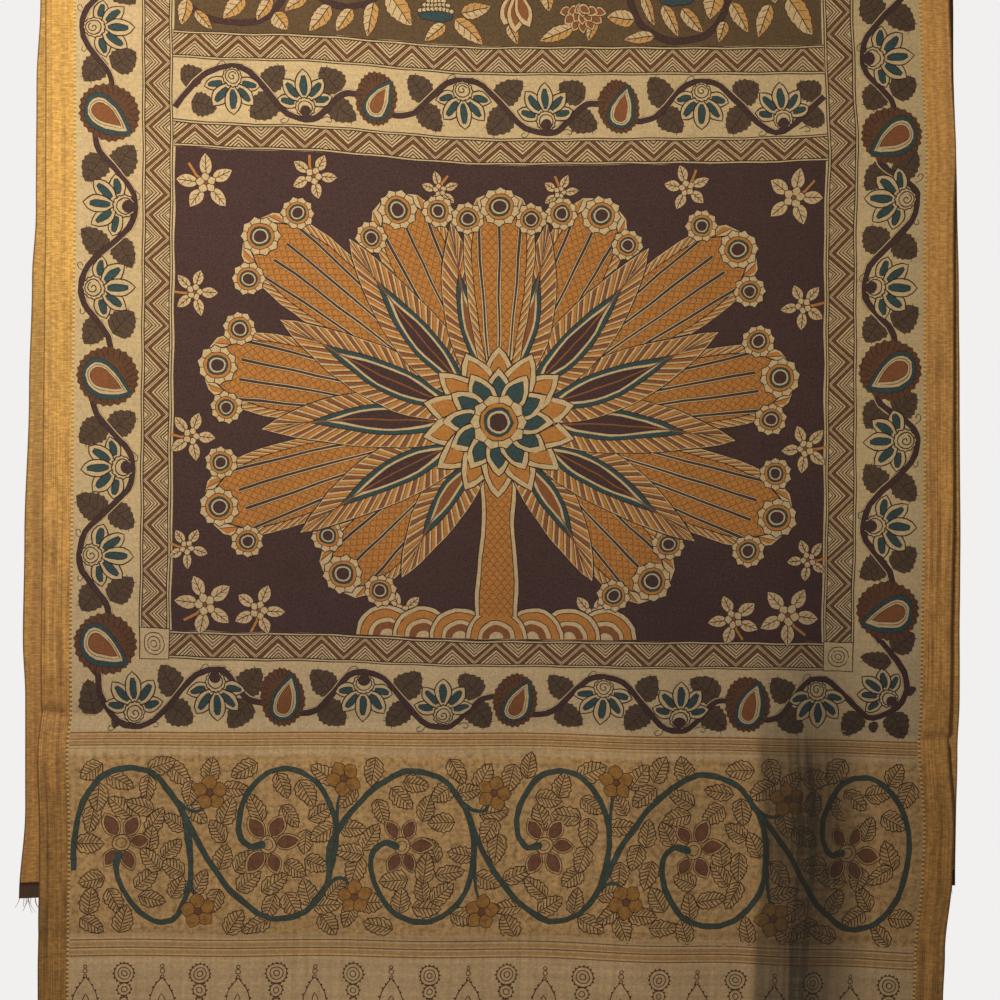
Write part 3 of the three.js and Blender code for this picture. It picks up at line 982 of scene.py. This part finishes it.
def flowering_tree(pen):
    """A mirrored tree of scaled lobes, plumes and sprigs on the dark panel."""
    rng = random.Random(53)
    halves = [Spot((0, 0), ((side, 0), (0, 1))) for side in (-1, 1)]
    for half in halves:
        for x, drop, turn, size in TREE_SPRIGS:
            spot = half.at(x, -drop, math.radians(turn + rng.uniform(-8, 8)), size)
            pen.line(spot([(-26, 0), (-12, 2), (0, 0)]), 3.0, OCHRE)
            for lean in (-2.4, -1.3, 0, 1.3, 2.4):
                small_leaf(pen, spot.at(0, 0, lean).at(7, 0), 23, 14)
            blossom(pen, spot, 5, 10, 9, CREAM, RUST)
    for k in (-3, 3, -2, 2, -1, 1, 0):
        for radius, colour in HILL_RINGS:
            pen.fill(circle(k * 46, -PANEL[1] + 1.5, radius, 32)[:17], colour)
    trunk = Spot((0, -PANEL[1] + 30), ((0, 1), (-1, 0)))
    along = np.linspace(0, 250, 18)
    girth = 26 - 0.03 * along + 2 * np.sin(along / 24)
    for extra, colour in ((1.4, INK), (0, CREAM), (-4.5, INK), (-5.6, OCHRE)):
        bark = mirrored(np.stack([along, girth + extra], 1), blunt=True)
        pen.fill(trunk(bark), colour, grain=trunk if colour == OCHRE else None)
    for half in halves:
        heart = half.at(*TREE_HEART)
        for turn, length, width, rays in TREE_LOBES:
            spot = heart.at(0, 0, math.radians(turn))
            lobe(pen, spot, length, width, rays)
            for share in (-1, 0, 1):
                end = spot.at(length - 24 - 20 * abs(share), share * width * 0.37)
                rosette(pen, end, 24 - 4 * abs(share))
        for turn, length, width, bend, core_dye in TREE_PLUMES:
            plume(pen, heart.at(0, 0, math.radians(turn)).at(28, 0), length - 28, width, bend, core_dye)
    top = Spot(TREE_HEART).at(0, 0, math.pi / 2)
    lobe(pen, top, *TREE_TOP)
    for share in (-1, 1, 0):
        rosette(pen, top.at(TREE_TOP[0] - 24 - 16 * abs(share), share * 40), 24 - 4 * abs(share))
    crown = Spot(TREE_HEART)
    for ring_reach, ring_width, count, colour in ((98, 44, 14, OCHRE), (70, 34, 12, TEAL)):
        for k in range(count):
            part = crown.at(0, 0, math.pi / 2 + 2 * math.pi * k / count).at(16, 0)
            pen.outlined(part(petal(ring_reach - 16, ring_width, 8)), CREAM, 1.5)
            pen.outlined(part.at(8, 0)(petal(ring_reach - 34, ring_width * 0.66, 7)), colour, 1.1)
    rosette(pen, crown, 34)


def draw_cloth():
    pen = Drawing()
    painted_ground(pen)
    vine_bands(pen)
    chevron_bands(pen)
    olive_band(pen)
    flowering_tree(pen)
    scroll_band(pen)
    pendants(pen)
    woven_stripes(pen)
    return pen


# How near drawn points are joined, how far off straight an edge may run and how long it may be, and the
# room that a point of the fold grid needs, in millimetres
MERGE = 0.05
STRAIGHT = 0.28
EDGE_LIMIT = 20.0
GRID_CLEAR = 6.0
# Rows of the fold grid from the front hem to the back end: height that they reach, step
GRID_STEPS = (
    (-1335, 14), (-1290, 4), (-1065, 14), (-1005, 4), (-LOOP_DROP, 14), (BACK_START, 3.4), (FLAT_TOP, 24),
)


def rows_between(start, end, step):
    return list(np.linspace(start, end, max(2, round(abs(end - start) / step) + 1)))


def grid_rows():
    """Heights of the rows of points that carry the folds, closer at the loop and the creases."""
    rows = [-FRONT_LENGTH]
    for end, step in GRID_STEPS:
        rows += rows_between(rows[-1], end, step)[1:]
    return rows


def in_reach(points):
    """Drawn points kept on the cloth."""
    return np.stack([np.clip(points[:, 0], -WIDTH / 2, WIDTH / 2),
                     np.clip(points[:, 1], -FRONT_LENGTH, FLAT_TOP)], 1)


def flat_skin(pen):
    """Cuts the flat cloth along every edge that shows; gives points, triangles, dyes and grain."""
    points = in_reach(np.array(pen.points))
    edges = [pair for shape in pen.shapes for pair in zip(shape, shape[1:] + shape[:1])]
    flat, triangles = cut_apart(points, edges)
    top = uppermost(points, pen.shapes, flat[triangles].mean(1))
    looks = {look: number for number, look in enumerate(dict.fromkeys(pen.looks))}
    look_of = np.array([looks[look] for look in pen.looks])
    flat, edges = showing_edges(flat, triangles, look_of[top])
    flat, triangles = cut_apart(np.concatenate([flat, grid_points(flat)]), edges)
    top = uppermost(points, pen.shapes, flat[triangles].mean(1))
    dyes = np.column_stack([np.array([look[0] for look in pen.looks])[top], np.zeros(len(top))])
    grain = np.zeros((len(top), 3, 2))
    for shape, spot in pen.grains.items():
        mine = top == shape
        dyes[mine, 3] = 1.0
        grain[mine] = spot.local(flat[triangles[mine]])
    return flat, triangles, dyes, grain


def cut_apart(points, edges):
    flat, _, faces, *_ = delaunay_2d_cdt([Vector(p) for p in points], edges, [], 0, MERGE, False)
    return np.array(flat), np.array([(f[0], b, c) for f in faces for b, c in zip(f[1:], f[2:])])


def grid_points(drawn):
    """Even points that carry the folds where the drawing leaves room for them."""
    near = KDTree(len(drawn))
    for k, (x, y) in enumerate(drawn):
        near.insert((x, y, 0), k)
    near.balance()
    columns = np.linspace(-WIDTH / 2, WIDTH / 2, 78)
    points = []
    for y in grid_rows():
        for x in columns if y < BACK_START + 1 else columns[::3]:
            if near.find((x, y, 0))[2] > GRID_CLEAR or abs(x) == WIDTH / 2:
                points.append((x, y))
    return np.array(points)


def showing_edges(flat, triangles, looks):
    """Edges where the look changes or the cloth ends, joined up where they run straight on."""
    pairs = np.sort(np.concatenate([triangles[:, (0, 1)], triangles[:, (1, 2)], triangles[:, (2, 0)]]), 1)
    order = np.lexsort((pairs[:, 1], pairs[:, 0]))
    pairs, look = pairs[order], np.tile(looks, 3)[order]
    shared = np.nonzero(np.all(pairs[1:] == pairs[:-1], 1))[0]
    changes = shared[look[shared] != look[shared + 1]]
    alone = np.ones(len(pairs), bool)
    alone[shared] = alone[shared + 1] = False
    links = {}
    for a, b in np.concatenate([pairs[changes], pairs[alone]]).tolist():
        links.setdefault(a, set()).add(b)
        links.setdefault(b, set()).add(a)
    for k in sorted(links):
        if len(links[k]) != 2:
            continue
        a, b = links[k]
        along, to = flat[b] - flat[a], flat[k] - flat[a]
        reach = math.hypot(*along)
        bend = abs(along[0] * to[1] - along[1] * to[0])
        if b not in links[a] and reach < EDGE_LIMIT and bend < STRAIGHT * reach:
            for one, other in ((a, b), (b, a)):
                links[one].discard(k)
                links[one].add(other)
            del links[k]
    names = {k: number for number, k in enumerate(sorted(links))}
    edges = [(names[a], names[b]) for a in links for b in links[a] if a < b]
    return flat[sorted(links)], edges


def uppermost(points, shapes, centres):
    """The last shape that lies over each centre."""
    order = np.argsort(centres[:, 1])
    x, y = centres[order].T
    top = np.zeros(len(centres), int)
    for number, shape in enumerate(shapes):
        a = points[shape]
        b = np.roll(a, -1, 0)
        low, high = np.searchsorted(y, (a[:, 1].min(), a[:, 1].max()))
        near = low + np.nonzero((x[low:high] >= a[:, 0].min()) & (x[low:high] <= a[:, 0].max()))[0]
        for some in np.array_split(near, len(near) * len(a) // 500000 + 1):
            px, py = x[some, None], y[some, None]
            left = (b[:, 0] - a[:, 0]) * (py - a[:, 1]) - (px - a[:, 0]) * (b[:, 1] - a[:, 1])
            rising = (a[:, 1] <= py) & (b[:, 1] > py) & (left > 0)
            falling = (b[:, 1] <= py) & (a[:, 1] > py) & (left < 0)
            top[some[rising.sum(1) != falling.sum(1)]] = number
    result = np.empty_like(top)
    result[order] = top
    return result


def border_loop(triangles):
    """The outer edge of a triangle net, as a loop of point numbers."""
    edges = np.concatenate([triangles[:, (0, 1)], triangles[:, (1, 2)], triangles[:, (2, 0)]])
    there = set(map(tuple, edges))
    after = {a: b for a, b in there if (b, a) not in there}
    start = min(after)
    loop = [start]
    while after[loop[-1]] != start:
        loop.append(after[loop[-1]])
    return loop


def reverse_skin(edge_points):
    """The plain wrong side of the cloth, within the same edge points."""
    count = len(edge_points)
    rows = grid_rows()[1:-1:2]
    columns = np.linspace(-WIDTH / 2, WIDTH / 2, 40)[1:-1]
    inner = [(x, y) for y in rows for x in columns]
    everything = [Vector(p) for p in edge_points] + [Vector(p) for p in inner]
    flat, _, faces, sources, _, owners = delaunay_2d_cdt(everything, [], [list(range(count))], 0, 0.001, True)
    triangles = np.array([face for face, owner in zip(faces, owners) if owner])
    place_of = {source: k for k, many in enumerate(sources) for source in many}
    return np.array(flat), triangles, [place_of[k] for k in range(count)]


def reverse_dye(flat):
    """Ground and gold borders seen from the wrong side."""
    gold = np.abs(flat[:, 0]) > GOLD_FROM
    plain = np.where(gold[:, None], np.array(GOLD) * 0.8, np.array(TAN) * 0.92)
    return np.column_stack([plain, np.zeros(len(flat))])


def make_cloth():
    outer_flat, outer_faces, outer_dyes, outer_grain = flat_skin(draw_cloth())
    loop = border_loop(outer_faces)
    inner_flat, inner_faces, inner_loop = reverse_skin(outer_flat[loop])
    shift = len(outer_flat)
    flat = np.concatenate([outer_flat, inner_flat])
    places = np.concatenate([hang(outer_flat, THICKNESS / 2), hang(inner_flat, -THICKNESS / 2)])
    inner_faces = inner_faces[:, ::-1] + shift
    rim_faces = []
    for k, a in enumerate(loop):
        b = loop[(k + 1) % len(loop)]
        c, d = inner_loop[(k + 1) % len(loop)] + shift, inner_loop[k] + shift
        rim_faces += [(b, a, d), (b, d, c)]
    rim_faces = np.array(rim_faces)
    faces = np.concatenate([outer_faces, inner_faces, rim_faces])
    centres = flat[np.concatenate([inner_faces, rim_faces])].mean(1)
    dyes = np.concatenate([outer_dyes, reverse_dye(centres)])

    mesh = bpy.data.meshes.new("kalamkari_cloth")
    mesh.vertices.add(len(places))
    mesh.vertices.foreach_set("co", places.ravel())
    mesh.loops.add(3 * len(faces))
    mesh.loops.foreach_set("vertex_index", faces.ravel().astype(np.int32))
    mesh.polygons.add(len(faces))
    mesh.polygons.foreach_set("loop_start", np.arange(0, 3 * len(faces), 3, dtype=np.int32))
    mesh.update()
    colour = mesh.color_attributes.new("dye", "FLOAT_COLOR", "CORNER")
    colour.data.foreach_set("color", np.repeat(dyes, 3, 0).astype(np.float32).ravel())
    corners = flat[faces.ravel()]
    grain = np.zeros((len(faces), 3, 2))
    grain[:len(outer_faces)] = outer_grain
    bake = bake_places(corners, len(outer_faces) * 3)
    for name, sheet in (("flat", corners * MM), ("grain", grain * MM), ("OFBake", bake)):
        mesh.uv_layers.new(name=name).data.foreach_set("uv", sheet.astype(np.float32).ravel())
    mesh.polygons.foreach_set("use_smooth", np.ones(len(faces), bool))
    mesh.validate()
    mesh.set_sharp_from_angle(angle=math.radians(60))
    cloth = bpy.data.objects.new("kalamkari_cloth", mesh)
    bpy.context.scene.collection.objects.link(cloth)
    return cloth


# Share of the colour sheet for the drawn front, the plain back and the wrong side
BAKE_FRONT = 0.74
BAKE_GAP = 0.01


def bake_places(flat, outer_corners):
    """Where each corner lies on the colour sheet: the drawn front large, the rest small beside it."""
    across = flat[:, 0] / WIDTH + 0.5
    places = np.zeros_like(flat)
    front_up = (flat[:, 1] + FRONT_LENGTH) / (FRONT_LENGTH + BACK_START)
    places[:, 0] = BAKE_GAP + across * (BAKE_FRONT - 2 * BAKE_GAP)
    places[:, 1] = BAKE_GAP + front_up * (1 - 2 * BAKE_GAP)
    corner_heights = flat[:, 1].reshape(-1, 3)
    behind = np.repeat(corner_heights.mean(1) > BACK_START, 3)
    wrong = np.arange(len(flat)) >= outer_corners
    side = 1 - BAKE_FRONT - BAKE_GAP
    back_up = (flat[:, 1] - BACK_START) / (FLAT_TOP - BACK_START)
    whole_up = (flat[:, 1] + FRONT_LENGTH) / FLAT_LENGTH
    places[behind, 0] = BAKE_FRONT + across[behind] * side
    places[behind, 1] = 0.5 + BAKE_GAP + (0.5 - 2 * BAKE_GAP) * np.clip(back_up[behind], 0, 1)
    places[wrong, 0] = BAKE_FRONT + across[wrong] * side
    places[wrong, 1] = BAKE_GAP + (0.5 - 2 * BAKE_GAP) * whole_up[wrong]
    return places


class Value:
    """One number of a finish; arithmetic on it adds Math nodes."""

    def __init__(self, finish, socket):
        self.finish = finish
        self.socket = socket

    def math(self, operation, *others):
        return self.finish.math(operation, self, *others)

    def __add__(self, other):
        return self.math("ADD", other)

    def __sub__(self, other):
        return self.math("SUBTRACT", other)

    def __rsub__(self, other):
        return self.finish.math("SUBTRACT", other, self)

    def __mul__(self, other):
        return self.math("MULTIPLY", other)

    def __truediv__(self, other):
        return self.math("DIVIDE", other)

    __radd__ = __add__
    __rmul__ = __mul__


class Finish:
    """A material under construction."""

    def __init__(self, name):
        self.material = bpy.data.materials.new(name)
        self.material.use_nodes = True
        self.tree = self.material.node_tree
        self.shader = next(n for n in self.tree.nodes if n.type == "BSDF_PRINCIPLED")

    def node(self, kind, settings, *values, **named):
        """A node of a kind: its settings are set first, then its sockets by order and by name."""
        node = self.tree.nodes.new(kind)
        for key, value in settings.items():
            setattr(node, key, value)
        for key, value in [*enumerate(values), *named.items()]:
            socket = node.inputs[key.replace("_", " ") if isinstance(key, str) else key]
            self.feed(socket, value)
        return node

    def feed(self, socket, value):
        if isinstance(value, Value):
            value = value.socket
        if isinstance(value, bpy.types.NodeSocket):
            self.tree.links.new(value, socket)
        else:
            socket.default_value = value

    def value(self, socket):
        return Value(self, socket)

    def math(self, operation, *values):
        return Value(self, self.node("ShaderNodeMath", {"operation": operation}, *values).outputs[0])

    def place(self, x, y, z=0.0):
        return self.node("ShaderNodeCombineXYZ", {}, x, y, z).outputs[0]

    def noise(self, vector, scale=1.0, detail=2.0):
        node = self.node("ShaderNodeTexNoise", {}, Vector=vector, Scale=scale, Detail=detail)
        return Value(self, node.outputs["Fac"])

    def mix(self, factor, a, b, how="MIX"):
        node = self.node("ShaderNodeMix", {"data_type": "RGBA", "blend_type": how})
        sockets = [s for s in node.inputs if s.enabled]
        for socket, value in zip(sockets, (factor, a, b)):
            self.feed(socket, value)
        return next(s for s in node.outputs if s.enabled)

    def ease(self, value, start, end):
        """Rises smoothly from 0 to 1 as a value goes from start to end."""
        settings = {"interpolation_type": "SMOOTHSTEP"}
        node = self.node("ShaderNodeMapRange", settings, value, start, end, 0.0, 1.0)
        return Value(self, node.outputs[0])

    def within(self, value, start, end, blur):
        """1 between start and end, fading over a blur inside each."""
        return self.ease(value, start, start + blur) * (1.0 - self.ease(value, end - blur, end))

    def set(self, **sockets):
        for name, value in sockets.items():
            self.feed(self.shader.inputs[name.replace("_", " ")], value)


# Lengths in the weave, in metres
THREAD = 0.0009
TICK_PITCH = 0.0056
SCALE_PITCH = 0.0095
# How far off the middle the painted edge shadow lies
SELVEDGE = (0.5728, 0.5737)

# Colours that wear, metal, the darker patch low on the right, painted glints, painted shade and a painted
# edge shadow give the cloth, as the light they give back
# A painted glint on the metal thread, and a dull gold that paints shade between the glints and on dull ribs
PAINTED_GLINT_GOLD = (0.92, 0.58, 0.15, 1.0)
DULL_GOLD_AND_PAINTED_SHADE = (0.30, 0.145, 0.052, 1.0)
TICK_GOLD = (1.0, 0.56, 0.13, 1.0)
TICK_GAP = (0.16, 0.080, 0.030, 1.0)
PAINTED_EDGE_SHADOW = (0.085, 0.042, 0.018, 1.0)
PAINTED_COOL_SHADE = (0.91, 0.915, 1.0, 1.0)
SMUDGE = (0.085, 0.050, 0.024, 1.0)
# Darkest colour of the darker patch low on the right
LOW_RIGHT_DARK = (0.036, 0.028, 0.020, 1.0)


def scale_lines(f):
    """Fine pen arcs in offset rows, like scales, that follow the way a shape grows."""
    split = f.node("ShaderNodeSeparateXYZ", {}, f.node("ShaderNodeUVMap", {"uv_map": "grain"}).outputs[0])
    along = f.value(split.outputs[0]) / (0.62 * SCALE_PITCH)
    row = along.math("FLOOR")
    across = f.value(split.outputs[1]) / SCALE_PITCH + 0.5 * row.math("FLOORED_MODULO", 2.0)
    middle = (across.math("FRACT") - 0.5) * 2.0
    gap = (along - row - 0.95 + 0.9 * middle * middle).math("ABSOLUTE")
    return 0.62 * (1.0 - f.ease(gap, 0.06, 0.2))


class ClothFinish(Finish):
    """Dyed plain weave with slubs, uneven dye, a darker patch low on the right, painted shade, painted glints
    and metal-wound thread in the borders.
    """

    def __init__(self, name):
        super().__init__(name)
        where = self.node("ShaderNodeUVMap", {"uv_map": "flat"}).outputs[0]
        split = self.node("ShaderNodeSeparateXYZ", {}, where)
        self.x, self.y = self.value(split.outputs[0]), self.value(split.outputs[1])
        self.out = self.x.math("ABSOLUTE")
        self.down = self.y * -1.0
        self.low = self.ease(self.down, 1.02, 1.08)
        end = (FLAT_TOP - END_STRIP) * MM
        self.past_end = self.ease(self.y, end - 0.0005, end + 0.0005)
        self.end_line = self.past_end * (1.0 - self.ease(self.y, end + 0.0030, end + 0.0045))
        self.gold_edge = GOLD_FROM * MM
        metal = self.ease(self.out, self.gold_edge - 0.0010, self.gold_edge + 0.0002)
        self.gold = metal * (1.0 - self.past_end)
        self.weft_slub = self.speckle(14.0, 900.0)
        self.warp_slub = self.speckle(900.0, 14.0)
        self.cloud = self.speckle(7.0, 7.0, 4.0)
        self.wear = self.speckle(190.0, 190.0)
        self.streak = self.speckle(90.0, 620.0, 3.0)
        self.shine = self.ease(self.streak, 0.40, 0.66)
        self.warp_check = self.speckle(130.0, 3.0, 3.0)
        self.weft_check = self.speckle(3.0, 130.0, 3.0)
        warp = (self.x * (2 * math.pi / THREAD)).math("SINE")
        weft = (self.y * (2 * math.pi / THREAD)).math("SINE")
        self.weave = warp * weft

    def speckle(self, across, up, detail=2.0):
        """Noise on the flat cloth, so many grains a metre across and up."""
        return self.noise(self.place(self.x * across, self.y * up), 1.0, detail)

    def shaded(self, colour, red, green, blue):
        return self.mix(1.0, colour, self.place(red, green, blue), "MULTIPLY")

    def dyed(self):
        """The drawing's dyes under uneven weave and wear, with painted shade that darkens them towards the
        lower right.
        """
        dyes = self.node("ShaderNodeAttribute", {"attribute_name": "dye"})
        scales = scale_lines(self) * self.value(dyes.outputs["Alpha"])
        colour = self.mix(scales, dyes.outputs["Color"], (*BROWN_VEIN, 1.0))
        colour = self.mix(self.past_end, colour, (*DARK_END, 1.0))
        colour = self.mix(self.end_line, colour, (*INK, 1.0))
        grain = self.speckle(420.0, 420.0, 1.0)
        blotch = self.speckle(42.0, 36.0, 3.0)
        red = self.value(self.node("ShaderNodeSeparateColor", {}, dyes.outputs["Color"]).outputs[0])
        rough = 0.55 + 0.75 * (1.0 - self.ease(red, 0.04, 0.35))
        light = 0.58 + 0.26 * self.weft_slub + 0.22 * self.warp_slub + 0.16 * self.cloud + 0.22 * blotch
        light = light + 0.03 * self.weave + rough * (grain - 0.5) + 0.5 * (self.wear - 0.5)
        light = light * (1.0 + 0.55 * self.low * (self.warp_check + self.weft_check - 1.0))
        # Painted shade: off the gold, the dyes darken towards the lower right, where the lamp's light falls
        # off
        painted_falloff_shade = self.ease(self.x, 0.12, 0.42) * self.ease(self.down, 0.72, 1.05) * (1.0 - self.gold)
        light = light * (1.0 - 0.2 * painted_falloff_shade)
        return self.shaded(colour, light, light, light)

    def cool_shaded_and_smudged(self, colour):
        """Painted shade: a cooler, darker tint over the low vine band, and smudged pen work in the scroll
        band.
        """
        # Painted shade: the low vine band is tinted cooler and darker, standing in for the bluish fill light
        # there
        cool_shade_mask = self.ease(self.down, 0.66, 0.96) * (1.0 - self.ease(self.down, 1.0465, 1.0490))
        colour = self.mix(cool_shade_mask * (1.0 - self.gold), colour, PAINTED_COOL_SHADE, "MULTIPLY")
        scribbled = self.ease(self.down, 1.070, 1.082) * (1.0 - self.ease(self.down, 1.300, 1.308))
        smudge = self.ease(self.speckle(150.0, 150.0, 3.0), 0.44, 0.68)
        return self.mix(scribbled * (1.0 - self.gold) * smudge * 0.42, colour, SMUDGE)

    def gilded(self, colour):
        """Metal thread in the borders: painted glint streaks with painted shade between them, dull ribs,
        darker lower down, and painted light on the right border.
        """
        # Painted highlight: bright glint streaks on the metal thread
        colour = self.mix(self.gold * self.shine * 0.35, colour, PAINTED_GLINT_GOLD)
        ribs = self.ease(self.speckle(170.0, 2.0), 0.42, 0.68)
        # Painted shade between the glints, and dull ribs of the thread
        colour = self.mix(self.gold * ((1.0 - self.shine) * 0.24 + ribs * 0.34), colour, DULL_GOLD_AND_PAINTED_SHADE)
        right = self.ease(self.x, 0.50, 0.54)
        patches = self.speckle(75.0, 20.0, 3.0) + self.speckle(600.0, 8.0, 1.0) - 1.0
        # The gold grows darker lower down
        gold_wear_and_painted_light = 1.0 - 0.46 * self.ease(self.down, 0.60, 1.42)
        # Painted light: the right border is brightened where the lamp lights it less; streak and wear noise
        # vary the metal
        gold_wear_and_painted_light = gold_wear_and_painted_light * (1.0 + 0.16 * right) * (1.0 + 0.3 * (self.streak - 0.5) + 0.5 * (self.wear - 0.5))
        gold_wear_and_painted_light = gold_wear_and_painted_light * (1.0 + (0.35 + 0.9 * self.ease(self.down, 0.3, 0.9)) * patches)
        gold_wear_and_painted_light = 1.0 + self.gold * (gold_wear_and_painted_light - 1.0)
        aged = self.gold * self.ease(self.y.math("ABSOLUTE"), 0.45, 1.1).math("MAXIMUM", right)
        return self.shaded(colour, gold_wear_and_painted_light, gold_wear_and_painted_light * (1.0 - 0.09 * aged), gold_wear_and_painted_light * (1.0 + 0.12 * aged))

    def edged(self, colour):
        """Tick marks where the gold starts, and a painted shadow line along the side edges."""
        band = self.within(self.out, self.gold_edge - 0.0030, self.gold_edge + 0.0008, 0.0006)
        tick = self.ease((self.y / TICK_PITCH).math("FRACT"), 0.40, 0.50)
        bright = 0.85 - 0.4 * self.ease(self.down, 0.6, 1.1)
        colour = self.mix(band * tick * bright, colour, TICK_GOLD)
        colour = self.mix(band * (1.0 - tick) * (1.3 - bright), colour, TICK_GAP)
        # Painted shadow: a thin dark line along both side edges, standing in for the shadow that a cloth edge
        # casts
        return self.mix(self.ease(self.out, *SELVEDGE) * 0.7, colour, PAINTED_EDGE_SHADOW)

    def darkened_low_right(self, colour):
        """Darker low on the right, with a darker line down its middle."""
        broad = self.ease(self.x, 0.328, 0.340) * (1.0 - self.ease(self.x, 0.415, 0.490))
        line = 1.0 - self.ease((self.x - 0.392).math("ABSOLUTE"), 0.004, 0.026)
        patch = 0.55 + 0.8 * self.cloud + 1.3 * (self.warp_check - 0.5) + 0.8 * (self.weft_check - 0.5)
        reach = 0.75 * self.low + 0.25 * self.ease(self.down, 0.90, 1.0)
        darkening = (0.66 * broad + 0.24 * line) * reach * patch
        return self.mix(darkening.math("MINIMUM", 0.88), colour, LOW_RIGHT_DARK)


def dyed_cotton():
    f = ClothFinish("dyed_cotton")
    colour = f.darkened_low_right(f.edged(f.gilded(f.cool_shaded_and_smudged(f.dyed()))))
    bump = f.weave * 0.35 + f.weft_slub * 0.5 + f.warp_slub * 0.4 + f.gold * f.streak * 0.6
    normal = f.node("ShaderNodeBump", {}, Strength=0.35, Distance=0.0006, Height=bump).outputs[0]
    f.set(Base_Color=colour, Roughness=0.92 - f.gold * 0.42, Metallic=f.gold * f.shine * 0.2, Normal=normal)
    f.set(Specular_IOR_Level=0.25, Sheen_Weight=0.08, Sheen_Roughness=0.6)
    return f.material


def thread_finish():
    f = Finish("loose_cotton")
    where = f.node("ShaderNodeNewGeometry", {}).outputs["Position"]
    fuzz = f.noise(where, 900.0)
    f.set(Base_Color=f.mix(fuzz, (*DARK_END, 1.0), (*TAN, 1.0)), Roughness=0.95 - 0.1 * fuzz)
    return f.material


def make_loose_threads():
    """Short frayed ends of warp at the cut back end, as thin four-sided strands."""
    rng = random.Random(71)
    points, faces = [], []
    steps, sides, radius = 7, 4, 0.45
    for k in range(34):
        x = -574 + 1148 * k / 33 + rng.uniform(-6, 6) if k % 2 else -574 + rng.uniform(0, 60)
        x = min(max(x, -574), 574)
        root = hang(np.array([(x, FLAT_TOP - 1.0)]), 0.0)[0] / MM
        length = rng.uniform(6, 17) if x > -500 else rng.uniform(9, 22)
        lean, curl = rng.uniform(-0.5, 0.35), rng.uniform(-0.5, 0.5)
        start = len(points)
        for i in range(steps):
            s = length * i / (steps - 1)
            middle = root + (s * lean * 0.5 + curl * s * s / length, rng.uniform(-0.1, 0.1), 1.5 - s)
            thin = radius * (1 - 0.5 * i / (steps - 1))
            for j in range(sides):
                a = 2 * math.pi * j / sides
                points.append(middle + (thin * math.cos(a), thin * math.sin(a), 0))
        for i in range(steps - 1):
            for j in range(sides):
                a, b = start + i * sides + j, start + i * sides + (j + 1) % sides
                faces.append((a, a + sides, b + sides, b))
        faces.append(tuple(start + j for j in range(sides)))
        faces.append(tuple(start + (steps - 1) * sides + j for j in reversed(range(sides))))
    mesh = bpy.data.meshes.new("loose_threads")
    mesh.from_pydata([tuple(p * MM) for p in points], [], faces)
    mesh.validate()
    threads = bpy.data.objects.new("loose_threads", mesh)
    bpy.context.scene.collection.objects.link(threads)
    return threads


# The view: the photograph's frame lies on the front fall
FRAME_SIDE = 1.2624
CAMERA_AWAY = 2.6
FRAME_MIDDLE = (0.0032, -0.0115, -0.7512)


def make_camera():
    data = bpy.data.cameras.new("camera")
    data.sensor_width = 36.0
    data.lens = data.sensor_width * CAMERA_AWAY / FRAME_SIDE
    camera = bpy.data.objects.new("camera", data)
    camera.location = Vector(FRAME_MIDDLE) + Vector((0, -CAMERA_AWAY, 0))
    camera.rotation_euler = (math.pi / 2, 0, 0)
    bpy.context.scene.collection.objects.link(camera)
    bpy.context.scene.camera = camera


def make_light(name, kind, size, place, power, colour):
    """A lamp of a kind, its size set by the name that the kind has for it, turned to the cloth's middle."""
    data = bpy.data.lights.new(name, kind)
    setattr(data, *size)
    data.energy = power
    data.color = colour
    light = bpy.data.objects.new(name, data)
    light.location = place
    light.rotation_euler = (Vector(LIT_MIDDLE) - Vector(place)).to_track_quat("-Z", "Y").to_euler()
    light.visible_camera = False
    bpy.context.scene.collection.objects.link(light)


LIT_MIDDLE = (0.0, 0.0, -0.7)
FLOOR_Z = -1.9
FLOOR_RADIUS = 2.0


def make_stage():
    mesh = bpy.data.meshes.new("floor")
    edge = circle(0, 0, FLOOR_RADIUS, 96)
    mesh.from_pydata([(x, y, FLOOR_Z) for x, y in edge], [], [tuple(range(len(edge)))])
    floor = bpy.data.objects.new("floor", mesh)
    finish = Finish("pale_floor")
    where = finish.node("ShaderNodeNewGeometry", {}).outputs["Position"]
    speck = finish.noise(where, 3.0)
    finish.set(Base_Color=finish.mix(speck, (0.80, 0.79, 0.78, 1), (0.86, 0.85, 0.84, 1)), Roughness=0.8)
    mesh.materials.append(finish.material)
    bpy.context.scene.collection.objects.link(floor)

    world = bpy.data.worlds.new("studio")
    world.use_nodes = True
    tree = world.node_tree
    shown = tree.nodes["Background"]
    shown.inputs["Color"].default_value = (0.88, 0.87, 0.86, 1)
    fill = tree.nodes.new("ShaderNodeBackground")
    fill.inputs["Color"].default_value = (0.86, 0.93, 1.0, 1)
    fill.inputs["Strength"].default_value = 0.07
    path = tree.nodes.new("ShaderNodeLightPath")
    choose = tree.nodes.new("ShaderNodeMixShader")
    tree.links.new(path.outputs["Is Camera Ray"], choose.inputs[0])
    tree.links.new(fill.outputs[0], choose.inputs[1])
    tree.links.new(shown.outputs[0], choose.inputs[2])
    tree.links.new(choose.outputs[0], tree.nodes["World Output"].inputs["Surface"])
    bpy.context.scene.world = world
    make_light("window", "POINT", ("shadow_soft_size", 0.16), (-0.44, -1.09, -0.12), 46.5, (1.0, 0.975, 0.91))
    make_light("back_fill", "AREA", ("size", 2.0), (1.4, 2.6, 0.6), 40, (0.95, 0.97, 1.0))
    bpy.context.scene.view_settings.view_transform = "Standard"


make_camera()
make_stage()
cloth = make_cloth()
cloth.data.materials.append(dyed_cotton())
threads = make_loose_threads()
threads.data.materials.append(thread_finish())
for piece in (cloth, threads):
    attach(piece, "root")
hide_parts("cloth")
